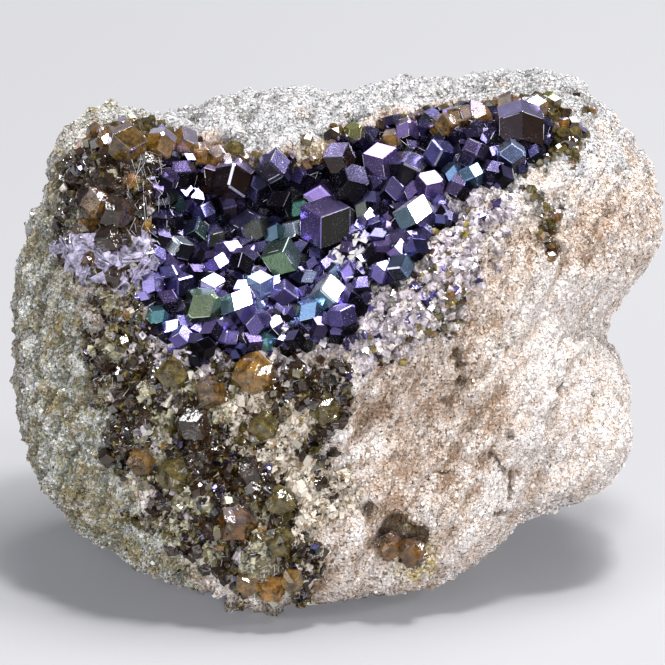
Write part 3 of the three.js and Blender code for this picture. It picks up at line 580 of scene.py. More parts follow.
def stone_material(settings):
    """The rock between and below its loose grains."""
    r = Recipe("skarn rock")
    cell = 0.17 * MM
    tones = r.cell_tones(cell)
    calm = 1 - r.attribute("pale") * 0.6
    shading = (r.cell_tones(cell, 0.3) - 0.5) * calm * 0.4 + 0.93
    # Dark specks: painted shade of small pores between the grains.
    specks = r.cell_tones(0.2 * MM, 0.5).over(0.9, 0.02) * calm * 0.8
    rock = r.mix(specks, r.shade(rock_colour(r, settings, tones), shading), (0.1, 0.06, 0.035))
    normal = r.bump(r.noise(0.6 * MM, 4, 0.6, 0.1, drawn=True), 0.5 * MM, 0.9)
    normal = r.bump(r.cells(0.4 * MM, shift=0.2, metric="MANHATTAN"), 0.2 * MM, 0.8, normal)
    normal = r.bump(r.cells(cell, metric="MANHATTAN"), 0.1 * MM, 0.85, normal)
    roughness = 0.65 - tones.over(0.75, 0.05) * 0.35
    return r.finish(r.principled({"Base Color": rock, "Roughness": roughness, "Normal": normal}))


def sugar_material(settings):
    """Loose sugary grains: the rock's colours, each grain lighter or darker, some with bright cleavage."""
    r = Recipe("sugary grains")
    tone = r.attribute("tone")
    rock = r.shade(rock_colour(r, settings, r.fraction(tone * 5.3)), tone * 0.4 + 0.77)
    rock = r.mix(r.fraction(tone * 7.13).over(0.93, 0.02) * 0.7, rock, (0.12, 0.08, 0.05))
    roughness = 0.5 - tone.over(0.6, 0.1) * 0.35
    normal = r.bump(r.noise(0.1 * MM, 2), 0.02 * MM, 0.6)
    return r.finish(r.principled({"Base Color": rock, "Roughness": roughness, "Normal": normal}))


def garnet_material(name, settings, etching, clarity=0.7):
    """Clear garnet, smooth or etched, whose faces wear a metallic film as far as their sheen says."""
    r = Recipe(name)
    clouds = r.noise(0.9 * MM, 3, 0.6)
    specks = r.noise(0.08 * MM, 2, 0.6, 0.4).over(0.64, 0.04)
    dust = specks * r.noise(1.6 * MM, 2, 0.5, 0.9).over(0.5, 0.12)
    # The sheen holds each face's film colour with its painted light and shade, and in its alpha the film's
    # cover.
    sheen = r.shade(r.attribute("sheen", "Color"), clouds * 0.8 + 0.6)
    sheen = r.mix(dust * 0.4, sheen, (0.5, 0.45, 0.7))
    waves = r.noise((0.2 + 0.2 * etching) * MM, 2, 0.6, 0.2)
    normal = r.bump(waves, (0.02 + 0.07 * etching) * MM, 0.3 + 0.5 * etching)
    roughness = 0.14 + clouds * 0.12 + dust * 0.25
    film_inputs = {"Base Color": sheen, "Metallic": 0.9, "Roughness": roughness, "Normal": normal}
    film_shader = r.principled(film_inputs)
    # Painted glow: the clear body lit up in cloudy patches, for light caught inside the crystal.
    glow = r.noise(0.6 * MM, 4, 0.7, 0.6).over(0.53, 0.2)
    light = 0.38 + glow * 1.9 - r.attribute("tone") * 0.3
    clear_shader = r.principled(
        {
            "Base Color": r.shade(r.attribute("body", "Color"), light),
            "Roughness": 0.04 + 0.04 * etching + clouds * 0.12,
            "Specular IOR Level": 0.3 - 0.2 * etching,
            "Normal": normal,
            "Transmission Weight": clarity,
            "IOR": settings.refraction,
        }
    )
    return r.finish(r.blend(r.attribute("sheen", "Alpha"), clear_shader, film_shader))


def fibre_material():
    """Pale silky mineral in thin blades and films."""
    r = Recipe("silky fibres")
    silk = r.mix(r.noise(0.5 * MM, 2).over(0.5, 0.2), (0.3, 0.28, 0.25), (0.5, 0.49, 0.52))
    return r.finish(r.principled({"Base Color": silk, "Roughness": 0.3, "Sheen Weight": 0.2}))


# ----------------------------------------------------------------------------------------------------------
# Meshes


def front(u, v, w):
    """A place in the front frame as a place in the part's frame, in metres."""
    return (FRONT_TO_PART @ Vector((u, v, w)) + Vector((0, 0, REST_LEVEL))) * MM


def to_front(points):
    """Places in the part's frame, in metres, as rows of u, v, w in millimetres."""
    return (points / MM - np.array((0, 0, REST_LEVEL))) @ FRONT_AXES


def smoothstep(x, low, high):
    t = np.clip((x - low) / (high - low), 0, 1)
    return t * t * (3 - 2 * t)


def unit(vectors):
    return vectors / np.linalg.norm(vectors, axis=1)[:, None]


def select_only(*objects):
    for obj in bpy.context.scene.objects:
        obj.select_set(obj in objects)
    if objects:
        bpy.context.view_layer.objects.active = objects[-1]


def new_object(name, data):
    obj = bpy.data.objects.new(name, data)
    bpy.context.scene.collection.objects.link(obj)
    return obj


def new_primitive(add, name, **sizes):
    select_only()
    add(**sizes)
    obj = bpy.context.active_object
    obj.name = name
    return obj


def edit(obj, *steps):
    """Runs edit-mode steps on all of an object's mesh."""
    select_only(obj)
    bpy.ops.object.mode_set(mode="EDIT")
    bpy.ops.mesh.select_all(action="SELECT")
    for step in steps:
        step()
    bpy.ops.object.mode_set(mode="OBJECT")


def apply_modifiers(obj):
    select_only(obj)
    for modifier in list(obj.modifiers):
        bpy.ops.object.modifier_apply(modifier=modifier.name)


def add_modifier(obj, kind, name, **settings):
    modifier = obj.modifiers.new(name, kind)
    for key, value in settings.items():
        setattr(modifier, key, value)


def coordinates(items, field="co"):
    values = np.empty(len(items) * 3, np.float32)
    items.foreach_get(field, values)
    return values.reshape(-1, 3).astype(float)


def move_vertices(mesh, places):
    mesh.vertices.foreach_set("co", places.astype(np.float32).ravel())
    mesh.update()


def first_vertices(mesh):
    """The number of the first vertex of each face."""
    return np.array([polygon.vertices[0] for polygon in mesh.polygons])


def set_attribute(mesh, name, kind, domain, values):
    attribute = mesh.attributes.new(name, kind, domain)
    field = "color" if kind == "FLOAT_COLOR" else "value"
    attribute.data.foreach_set(field, np.ascontiguousarray(values, np.float32).ravel())


def get_attribute(mesh, name):
    data = mesh.attributes[name].data
    values = np.empty(len(data), np.float32)
    data.foreach_get("value", values)
    return values.astype(float)


def join(name, pieces):
    select_only(*pieces)
    bpy.ops.object.join()
    piece = bpy.context.active_object
    piece.name = name
    return piece


def material_of(name):
    return bpy.data.objects[name].data.materials[0]


def settle(piece, material, slot, *nodes):
    """Gives a finished piece its material and its body, and hides the solids that it stands for.

    What of it would reach below the floor is pressed flat on it. Its slot is not used.
    """
    places = coordinates(piece.data.vertices)
    places[:, 2] = np.maximum(places[:, 2], 0)
    move_vertices(piece.data, places)
    piece.data.materials.clear()
    piece.data.materials.append(material)
    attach(piece, "root")
    if nodes:
        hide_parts(*nodes)


def discard(*objects):
    for obj in objects:
        bpy.data.objects.remove(obj)


# ----------------------------------------------------------------------------------------------------------
# Places on the rock


def rock_tree():
    mesh = frame["nodes"][ROCK_NODE].data
    return BVHTree.FromPolygons([v.co for v in mesh.vertices], [p.vertices for p in mesh.polygons])


def on_face(tree, u, v):
    """The rock's face at u, v."""
    above_rock = 60
    hit = tree.ray_cast(front(u, v, above_rock), FRONT_TO_PART @ Vector((0, 0, -1)))[0]
    if hit is None:
        raise RuntimeError(f"the rock has no face at u {u:.1f}, v {v:.1f}")
    return hit


def outwards(tree, u, v):
    step = 0.5
    along_u = on_face(tree, u + step, v) - on_face(tree, u - step, v)
    along_v = on_face(tree, u, v + step) - on_face(tree, u, v - step)
    return along_u.cross(along_v).normalized()


def seat(tree, crystal):
    """Where a crystal's middle stands off the face, so that it is seen at its u, v."""
    foot_u, foot_v = crystal.u, crystal.v
    height = BED_HEIGHT + PROUD * crystal.size
    for _ in range(6):
        place = on_face(tree, foot_u, foot_v) + outwards(tree, foot_u, foot_v) * height * MM
        seen = to_front(np.array([place]))[0]
        foot_u += 0.5 * (crystal.u - seen[0])
        foot_v += 0.5 * (crystal.v - seen[1])
    return place


def distance_to_line(points, line):
    nearest = np.full(len(points), np.inf)
    for start, end in zip(line, line[1:]):
        start = np.array(start)
        edge = np.array(end) - start
        along = np.clip((points - start) @ edge / (edge @ edge), 0, 1)
        nearest = np.minimum(nearest, np.linalg.norm(points - start - along[:, None] * edge, axis=1))
    return nearest


def depth_inside(points, outline):
    """How far points lie inside a closed outline, less than 0 outside it."""
    closed = [*outline, outline[0]]
    inside = np.zeros(len(points), bool)
    for (ax, ay), (bx, by) in zip(closed, closed[1:]):
        rise = by - ay or 1e-9
        crosses = (ay > points[:, 1]) != (by > points[:, 1])
        inside ^= crosses & (points[:, 0] < ax + (bx - ax) * (points[:, 1] - ay) / rise)
    distance = distance_to_line(points, closed)
    return np.where(inside, distance, -distance)


def ruggedness(places, size, seed):
    """Cloudy noise from about -1 to 1 at places, with features of a size or of one size each way."""
    shift = Vector((seed * 17.3, seed * 5.1, seed * 9.7))
    return np.array([noise.fractal(Vector(place) + shift, 0.8, 2, 3) for place in places / size])


def rock_relief(places, zones, settings):
    """Height of the rock's relief in metres at places in the front frame, and how far each is a crest."""
    turned = np.column_stack([places @ np.array(ALONG_GRAIN), places @ np.array(ACROSS_GRAIN), places[:, 2]])
    striae = 1 - 2.4 * np.abs(ruggedness(turned, np.array((8.0, 1.5, 3.0)), 3))
    lumps = ruggedness(places, 3.5, 4)
    knobs = ruggedness(places, 1.0, 5) * (0.3 + 0.8 * zones["left"])
    chips = 1 - 2.2 * np.abs(ruggedness(places, 1.3, 6))
    chipped = np.maximum(zones["flank"], np.maximum(zones["wall"], 0.6 * zones["mist"]))
    relief = settings.striae * 0.5 * striae + settings.lumps * lumps + settings.chips * 0.5 * chips * chipped
    relief = (relief * (1 - zones["hollow"]) + settings.lumps * knobs) * (1 - 0.4 * zones["pale"])
    crest = 0.5 + 0.22 * striae + 0.35 * lumps + 0.8 * knobs + 0.3 * chips * chipped
    return relief, np.clip(crest, 0, 1)


def rock_zones(mesh):
    """How far each vertex of the stone belongs to each kind of rock."""
    places = to_front(coordinates(mesh.vertices))
    normals = coordinates(mesh.vertices, "normal")
    u, v, w = places.T
    front_side = smoothstep(normals @ FRONT_AXES[:, 2], -0.1, 0.15) * smoothstep(w, -9, -6)
    broad = ruggedness(places, 3.0, 1)
    close = ruggedness(places, 1.1, 2)
    zones = {}
    for name, zone in ZONES.items():
        if zone.kind == "outline":
            depth = depth_inside(places[:, :2], zone.points)
        else:
            depth = -distance_to_line(places[:, :2], zone.points)
        depth += zone.reach + zone.ragged * (0.6 * broad + 0.5 * close)
        zones[name] = smoothstep(depth, -zone.soft, zone.soft) * front_side

    # The top and the left side run on over the rear, which is weathered in patches.
    left_side = smoothstep(-u + 3 * broad + 1.5 * close, 14, 18) * (1 - front_side)
    level = smoothstep(normals[:, 2] + 0.35 * broad + 0.2 * close, 0.40, 0.76)
    top = level * smoothstep(v + 2 * broad, 7.5, 12)
    left_top = smoothstep(-u + 2 * broad, 14, 17) * top
    weathered = 0.48 * smoothstep(ruggedness(places, 6.0, 8), -0.5, 0.4) * (1 - front_side)
    zones["left"] = np.maximum(np.maximum(zones["left"], left_side), left_top)
    zones["top"] = np.maximum(top, weathered)

    # How far each vertex takes the painted shade of pits and cracks.
    pit = np.zeros(len(places))
    for pu, pv, radius, _ in PITS:
        reach = np.hypot(u - pu, v - pv) / radius + 0.5 * close
        pit = np.maximum(pit, smoothstep(-reach, -1.1, -0.8) * front_side)
    for crack in CRACKS:
        near = distance_to_line(places[:, :2], crack)
        pit = np.maximum(pit, smoothstep(-near, -1.3 * CRACK_WIDTH, -0.7 * CRACK_WIDTH) * front_side)
    zones["pit"] = pit
    zones["patch"] = smoothstep(ruggedness(places, 2.4, 9), 0.0, 0.25)
    return zones


ZONE_NAMES = (*ZONES, "top", "pit", "crest", "patch")

# ----------------------------------------------------------------------------------------------------------
# Crystals and grains

HALF_CUBE = math.sqrt(0.5) / 2
# The crystal direction that each facing turns to the viewer, and one across it.
FACINGS = {
    "rhomb": (Vector((1, 1, 0)), Vector((1, -1, 0))),
    "corner": (Vector((1, 1, 1)), Vector((2, -1, -1))),
    "tip": (Vector((1, 0, 0)), Vector((0, 1, 0))),
}


def seeded(seed):
    """Repeatable numbers from 0 to 1."""
    state = seed
    while True:
        state = (state * 1664525 + 1013904223) % 4294967296
        yield state / 4294967296


def crystal_turn(crystal, numbers):
    """The turn of a crystal from its own axes into the front frame."""
    if crystal.facing:
        right, up, spin = (math.radians(angle) for angle in (crystal.right, crystal.up, crystal.spin))
    else:
        right, up, spin = (2 * math.pi * next(numbers) for _ in range(3))
    ahead, across = (d.normalized() for d in FACINGS[crystal.facing or "rhomb"])
    axes = Matrix((across, ahead.cross(across), ahead))
    turn = Matrix.Rotation(right, 3, "Y") @ Matrix.Rotation(-up, 3, "X") @ Matrix.Rotation(spin, 3, "Z")
    return turn @ axes


def garnet_form(name, edge_cut=0.0, tip_cut=0.0, terraced=False, wear=0.0):
    """A garnet, one unit across opposite rhombs: a cube whose faces are raised to points."""
    form = new_primitive(bpy.ops.mesh.primitive_cube_add, name, size=math.sqrt(0.5))
    edit(
        form,
        lambda: bpy.ops.mesh.poke(offset=HALF_CUBE, center_mode="MEDIAN"),
        lambda: bpy.ops.mesh.dissolve_limited(angle_limit=math.radians(2)),
    )
    if terraced:
        terrace_faces(form)
    if tip_cut:
        cut_tips(form, tip_cut)
    if edge_cut:
        edges = dict(segments=1, affect="EDGES", clamp_overlap=True)
        edit(form, lambda: bpy.ops.mesh.bevel(offset=edge_cut, **edges))
    if wear:
        edit(
            form,
            lambda: bpy.ops.mesh.subdivide(number_cuts=1),
            lambda: bpy.ops.transform.vertex_random(offset=wear, seed=3),
        )
    return form


def terrace_faces(form):
    """A growth step on every third rhomb, a shallow plateau."""
    edit(form, lambda: bpy.ops.mesh.select_all(action="DESELECT"))
    for polygon in form.data.polygons:
        polygon.select = polygon.index % 3 == 0
    bpy.ops.object.mode_set(mode="EDIT")
    bpy.ops.mesh.select_mode(type="FACE")
    bpy.ops.mesh.inset(thickness=0.09, depth=0.008, use_individual=True)
    bpy.ops.object.mode_set(mode="OBJECT")


def cut_tips(form, width):
    """Small faces across the six four-sided tips."""
    edit(
        form,
        lambda: bpy.ops.mesh.select_mode(type="VERT"),
        lambda: bpy.ops.mesh.select_all(action="DESELECT"),
    )
    for vertex in form.data.vertices:
        vertex.select = max(abs(c) for c in vertex.co) > 0.9 * math.sqrt(0.5)
    bpy.ops.object.mode_set(mode="EDIT")
    bpy.ops.mesh.bevel(offset=width, segments=1, affect="VERTICES")
    bpy.ops.object.mode_set(mode="OBJECT")


def sugar_form(name, squash):
    """A loose grain, one unit across: a cube pulled out of true."""
    form = new_primitive(bpy.ops.mesh.primitive_cube_add, name, size=1)
    edit(
        form,
        lambda: bpy.ops.transform.resize(value=squash),
        lambda: bpy.ops.transform.vertex_random(offset=0.22, seed=int(100 * squash[0])),
    )
    return form


def blade_form(name):
    """A blade, one unit each way, that narrows to one end."""
    form = new_primitive(bpy.ops.mesh.primitive_cube_add, name, size=1)
    for vertex in form.data.vertices:
        if vertex.co.x > 0:
            vertex.co.y *= 0.3
            vertex.co.z *= 0.5
    return form


def face_ways(normals):
    """0 for faces that look up, 1 left, 2 right or at the viewer and 3 down, by their normals."""
    seen = normals @ FRONT_AXES
    ways = np.where(seen[:, 0] < -0.25, 1, 2)
    ways[seen[:, 1] > 0.38] = 0
    ways[seen[:, 1] < -0.4] = 3
    return ways


def greyed_films(look):
    films = np.array(LOOKS[look][1:])
    films[:, :3] += FILM_GREY * (films[:, :3].mean(axis=1, keepdims=True) - films[:, :3])
    return films


FILMS = {look: greyed_films(look) for look in LOOKS}


def colour_faces(mesh, looks, rng, painted_shades=None):
    """Colours like crystals: each face by its crystal's look and painted shade, and by its own way."""
    settings = bpy.context.scene.garnet_garnets
    if painted_shades is None:
        painted_shades = np.ones(len(looks))
    per_crystal = len(mesh.polygons) // len(looks)
    ways = face_ways(coordinates(mesh.polygons, "normal"))
    # Each way takes its own film, so up-facing faces are painted lighter and down-facing ones darker.
    colours = np.array([FILMS[looks[index // per_crystal]][way] for index, way in enumerate(ways)])
    fading = np.clip(rng.lognormal(-0.02, 0.5, len(colours)), 0.25, 1.7)
    # Each crystal's painted shade, and a fading that differs at random from face to face.
    colours[:, :3] *= (fading * np.repeat(painted_shades, per_crystal))[:, None]
    areas = np.array([polygon.area for polygon in mesh.polygons])
    # Painted highlight: a tenth of the narrow faces on a lone crystal's edges take a pale colour.
    narrow = (areas < 0.3 * areas.max()) & (len(looks) == 1)
    colours[narrow & (rng.uniform(0, 1, len(areas)) < 0.1)] = PAINTED_EDGE_HIGHLIGHT
    sides = np.array([polygon.loop_total for polygon in mesh.polygons])
    set_attribute(mesh, "sheen", "FLOAT_COLOR", "CORNER", np.repeat(colours, sides, 0))

    names = [LOOKS[look][0] for look in looks]
    bodies = np.array([(*getattr(settings, name), 1) for name in names])
    aged = rng.uniform(0, MOST_AGED, (len(looks), 1)) * np.array([[name in AGING_BODIES] for name in names])
    bodies += aged * (np.array((*settings.olive, 1)) - bodies)
    corners = len(mesh.vertices) // len(looks)
    set_attribute(mesh, "body", "FLOAT_COLOR", "POINT", np.repeat(bodies, corners, 0))
    set_attribute(mesh, "tone", "FLOAT", "POINT", np.repeat(rng.uniform(0, 1, len(looks)), corners))


def grow_crystals(name, crystals, forms, seed, looks=None):
    """One joined mesh of crystals on the rock."""
    tree = rock_tree()
    numbers = seeded(seed)
    rng = np.random.default_rng(seed)
    grown = []
    for index, crystal in enumerate(crystals):
        turn = crystal_turn(crystal, numbers)
        mesh = forms[index % len(forms)].data.copy()
        scale = Matrix.Diagonal(Vector((crystal.size * MM,) * 3))
        mesh.transform(Matrix.Translation(seat(tree, crystal)) @ (FRONT_TO_PART @ turn @ scale).to_4x4())
        colour_faces(mesh, [crystal.look or looks[index % len(looks)]], rng)
        grown.append(new_object(name, mesh))
    return join(name, grown)


class Ground:
    """The stone's faces, for picking places where loose grains lie."""

    def __init__(self):
        mesh = bpy.data.objects[STONE].data
        self.middles = coordinates(mesh.polygons, "center")
        self.normals = coordinates(mesh.polygons, "normal")
        self.areas = np.array([polygon.area for polygon in mesh.polygons])
        first = first_vertices(mesh)
        self.zones = {name: get_attribute(mesh, name)[first] for name in ZONE_NAMES}
        self.seen = to_front(self.middles)
        self.faces_front = self.normals @ FRONT_AXES[:, 2]

    def pick(self, chances, count, rng):
        """Numbers of faces, none twice, the more likely the higher their chances."""
        chances = chances * self.areas
        count = min(count, int(np.count_nonzero(chances)))
        return rng.choice(len(chances), count, replace=False, p=chances / chances.sum())

    def above(self, picked, heights):
        """Places at heights over the middles of picked faces, in metres."""
        return self.middles[picked] + self.normals[picked] * heights[:, None]

    def distance(self, place):
        """How far each face is seen from a place u, v."""
        return np.linalg.norm(self.seen[:, :2] - np.array(place), axis=1)


def choose_looks(looks, count, rng):
    """Looks for a number of crystals, as common as the table says."""
    shares = np.array(list(looks.values()))
    return list(rng.choice(list(looks), count, p=shares / shares.sum()))


def falling_sizes(count, largest, least, power):
    """Sizes in metres from the largest to the least, the more of them small the higher the power."""
    return (np.linspace(1, 0, count) ** power * (largest - least) + least) * MM


def spread(places, sizes, taken=()):
    """Which of some crystals keep clear of the taken places and of each other, the first ones first."""
    centres = np.array([place for place, _ in taken] + [(9, 9, 9)] * len(places))
    reaches = np.array([0.85 * reach for _, reach in taken] + [0.0] * len(places))
    kept = []
    for index, (place, size) in enumerate(zip(places, sizes)):
        gaps = np.linalg.norm(centres - place, axis=1)
        if np.all(gaps > reaches + 0.25 * size):
            centres[len(taken) + len(kept)] = place
            reaches[len(taken) + len(kept)] = 0.25 * size
            kept.append(index)
    return kept


def random_turns(count, rng):
    """Turns of every kind, as matrices."""
    a, b, c, d = (rng.normal(size=(4, count)))
    length = np.sqrt(a * a + b * b + c * c + d * d)
    a, b, c, d = a / length, b / length, c / length, d / length
    rows = [
        [1 - 2 * (c * c + d * d), 2 * (b * c - a * d), 2 * (b * d + a * c)],
        [2 * (b * c + a * d), 1 - 2 * (b * b + d * d), 2 * (c * d - a * b)],
        [2 * (b * d - a * c), 2 * (c * d + a * b), 1 - 2 * (b * b + c * c)],
    ]
    return np.array(rows).transpose(2, 0, 1)


def along_surface(normals, rng, lift, lean=None):
    """Turns that lay a blade's length along the surface, lifted a little from it."""
    sideways = rng.normal(size=normals.shape)
    if lean is not None:
        sideways = 0.45 * sideways + lean
    ahead = unit(sideways - np.sum(sideways * normals, 1)[:, None] * normals)
    ahead = unit(ahead + normals * rng.normal(scale=lift, size=(len(normals), 1)))
    across = unit(np.cross(normals, ahead))
    return np.stack([ahead, across, np.cross(ahead, across)], axis=2)


def strewn(name, form, places, turns, sizes):
    """One mesh of copies of a form, at places, with turns and with sizes, or one size each way, in metres."""
    corners = coordinates(form.data.vertices)
    loops = np.array([loop.vertex_index for loop in form.data.loops])
    starts = np.array([polygon.loop_start for polygon in form.data.polygons])
    count = len(places)
    scales = np.broadcast_to(np.reshape(sizes, (count, -1)), (count, 3))
    points = np.einsum("nij,vj->nvi", turns * scales[:, None, :], corners) + places[:, None]
    which = np.arange(count)[:, None]
    mesh = bpy.data.meshes.new(name)
    mesh.vertices.add(count * len(corners))
    mesh.vertices.foreach_set("co", points.astype(np.float32).ravel())
    mesh.loops.add(count * len(loops))
    mesh.loops.foreach_set("vertex_index", (loops + which * len(corners)).astype(np.int32).ravel())
    mesh.polygons.add(count * len(starts))
    mesh.polygons.foreach_set("loop_start", (starts + which * len(loops)).astype(np.int32).ravel())
    mesh.update(calc_edges=True)
    mesh.validate()
    mesh.shade_flat()
    return new_object(name, mesh)


# ----------------------------------------------------------------------------------------------------------
# Operators


class GARNET_OT_stone(bpy.types.Operator):
    """Makes the matrix stone from its solid: an even mesh, then crystal beds, relief, pits and cracks"""

    bl_idname = "garnet.stone"
    bl_label = "Matrix stone"

    def execute(self, context):
        settings = context.scene.garnet_stone
        stone = new_object(STONE, frame["nodes"][ROCK_NODE].data.copy())
        edit(stone, lambda: bpy.ops.mesh.remove_doubles(threshold=0.001 * MM))
        add_modifier(stone, "SUBSURF", "soften", levels=1, render_levels=1)
        add_modifier(stone, "REMESH", "even", mode="VOXEL", voxel_size=settings.cell, use_smooth_shade=True)
        apply_modifiers(stone)
        resting = coordinates(stone.data.vertices)[:, 2] < FLAT_BELOW * MM
        zones = rock_zones(stone.data)
        self.shape(stone, zones, settings)
        places = coordinates(stone.data.vertices)
        places[resting, 2] = 0
        places[:, 2] = np.maximum(places[:, 2], 0)
        move_vertices(stone.data, places)
        for name in ZONE_NAMES:
            set_attribute(stone.data, name, "FLOAT", "POINT", zones[name])
        settle(stone, stone_material(settings), "skarn", ROCK_NODE)
        return {"FINISHED"}

    def shape(self, stone, zones, settings):
        """Beds that crystals grew on stand up, pits and cracks go down, and the rest has its own relief."""
        places = coordinates(stone.data.vertices)
        normals = coordinates(stone.data.vertices, "normal")
        seen = to_front(places)
        u, v, w = seen.T
        relief, zones["crest"] = rock_relief(seen, zones, settings)
        lift = sum(height * zones[zone] for zone, height in BEDS.items())
        for pu, pv, radius, depth in PITS:
            reach = np.hypot(u - pu, v - pv) / radius
            lift -= depth * smoothstep(-reach, -1.3, -0.4) * (w > FACE_DEPTH)
        for crack in CRACKS:
            near = distance_to_line(seen[:, :2], crack)
            lift -= CRACK_DEPTH * smoothstep(-near, -1.5 * CRACK_WIDTH, 0) * (w > FACE_DEPTH)
        lift += sum(height * zones[zone] for zone, height in RIDGES.items())
        places += normals * (lift * MM + relief)[:, None]
        move_vertices(stone.data, places)


class GARNET_OT_sugar(bpy.types.Operator):
    """Strews the sugary grains over the stone, in one piece for each side of it"""

    bl_idname = "garnet.sugar"
    bl_label = "Sugary grains"

    def execute(self, context):
        settings = context.scene.garnet_stone
        ground = Ground()
        zones = ground.zones
        forms = [sugar_form("grain_a", (1, 0.8, 0.7)), sugar_form("grain_b", (0.9, 0.9, 0.6))]
        material = sugar_material(settings)
        bare = ground.middles[:, 2] > BARE_BELOW * MM
        rock = (1 - zones["hollow"]) * (1 - 0.2 * zones["flank"]) * (1 - 0.6 * zones["rim"]) * bare
        rock = rock * (1 - 0.6 * zones["pale"]) * (1 + zones["mist"])
        top = zones["top"] > 0.5
        facing = ground.faces_front > 0.1
        sides = {
            "sugar_face": (rock * (facing & ~top), 15500, 1.0),
            "sugar_top": (rock * top, 7000, 1.0),
            "sugar_back": (rock * (~facing & ~top), 10000, 1.3),
        }
        for side, (name, (chances, count, scale)) in enumerate(sides.items()):
            rng = np.random.default_rng(SUGAR_SEED + side)
            picked = ground.pick(chances, count, rng)
            count = len(picked)
            sizes = settings.grain_size * scale * np.clip(rng.lognormal(0, 0.35, count), 0.5, 2)
            coarse_zones = ("calcite", "mist", "amber", "rim", "flank")
            coarse = np.maximum.reduce([zones[zone][picked] for zone in coarse_zones])
            sizes *= 1 + 1.5 * coarse * rng.uniform(0, 1, count)
            places = ground.above(picked, sizes * rng.uniform(-0.3, 0.1, count))
            turns = random_turns(count, rng)
            laid = np.maximum(coarse, zones["left"][picked]) < 0.4
            turns[laid] = along_surface(ground.normals[picked], rng, 0.3)[laid]
            tones = rng.uniform(0, 1, count)
            pieces = []
            for part, form in enumerate(forms):
                chosen = np.arange(count) % len(forms) == part
                piece = strewn(name, form, places[chosen], turns[chosen], sizes[chosen])
                carried = {"tone": tones[chosen]}
                carried |= {zone: zones[zone][picked[chosen]] for zone in ZONE_NAMES}
                for attribute, values in carried.items():
                    values = np.repeat(values, len(form.data.vertices))
                    set_attribute(piece.data, attribute, "FLOAT", "POINT", values)
                pieces.append(piece)
            settle(join(name, pieces), material, "skarn")
        discard(*forms)
        return {"FINISHED"}


class GARNET_OT_rainbow(bpy.types.Operator):
    """Grows the rainbow garnets of the hollow, the honey ones of its rim and the small ones between them"""

    bl_idname = "garnet.rainbow"
    bl_label = "Rainbow garnets"

    def execute(self, context):
        settings = context.scene.garnet_garnets
        cut = settings.edge_cut
        forms = [
            garnet_form("plain", 0.4 * cut),
            garnet_form("cut", 1.4 * cut),
            garnet_form("stepped", 0.4 * cut, terraced=True),
            garnet_form("blunt", 0.6 * cut, tip_cut=0.12),
        ]
        material = garnet_material("rainbow garnet", settings, 0)
        misty = garnet_material("misty crumbs", settings, 0.5, 0.15)
        piece = grow_crystals("rainbow_garnets", RAINBOW_CRYSTALS, forms, RAINBOW_SEED)
        settle(piece, material, "rainbow_garnet", "rainbow_garnet_crust")
        discard(*forms)
        self.fill(material, misty)
        return {"FINISHED"}

    def fill(self, material, misty):
        """Small crystals between the large ones, along the rim and round the hollow."""
        ground = Ground()
        zones = ground.zones
        form, crumb = garnet_form("small"), sugar_form("haze", (1, 0.9, 0.8))
        tree = rock_tree()
        taken = [(np.array(seat(tree, crystal)), 0.5 * crystal.size * MM) for crystal in RAINBOW_CRYSTALS]
        rng = np.random.default_rng(SMALL_SEED)
        ends_of_rim = 0.25 + smoothstep(np.abs(ground.seen[:, 0] + 1), 4, 7)
        rim = zones["rim"] * (zones["hollow"] < 0.5) * ends_of_rim
        amber = np.maximum(zones["amber"], zones["ooze"])
        kinds = {
            "hollow": (zones["hollow"], 3200, (1.6, 0.5), HOLLOW_LOOKS, "rainbow_garnet"),
            "rim": (rim, 420, (1.1, 0.35), RIM_LOOKS, "honey_garnet"),
            "mist": (zones["mist"], 1500, (0.6, 0.14), MIST_LOOKS, "rainbow_garnet"),
            "amber": (amber, 260, (0.7, 0.25), AMBER_LOOKS, "honey_garnet"),
        }
        for name, (chances, count, (largest, least), looks, slot) in kinds.items():
            picked = ground.pick(chances, count, rng)
            sizes = falling_sizes(len(picked), largest, least, 1.7)
            places = ground.above(picked, 0.2 * sizes)
            kept = spread(places, sizes, taken)
            chosen = choose_looks(looks, len(kept), rng)
            painted_shades = None
            if name == "hollow":
                seen = ground.seen[picked[kept]]
                # Low on the floor the crystals take lighter looks: partly painted light.
                on_floor = seen[:, 1] < rng.uniform(1, 6, len(kept))
                chosen = list(np.where(on_floor, choose_looks(FLOOR_LOOKS, len(kept), rng), chosen))
                # Painted shade on the crystals close under the rim.
                painted_shades = self.painted_rim_shade(seen)
            cloudy = name == "mist"
            turns = random_turns(len(kept), rng)
            piece = strewn(name + "_fill", crumb if cloudy else form, places[kept], turns, sizes[kept])
            colour_faces(piece.data, chosen, rng, painted_shades)
            settle(piece, misty if cloudy else material, slot)
        discard(form, crumb)

    def painted_rim_shade(self, seen):
        """Painted shade: the crystals' films darkened close under the overhanging rim, where shade falls."""
        below = distance_to_line(seen[:, :2], ZONES["rim"].points)
        return 0.25 + 0.75 * smoothstep(below, 1.5, 6)


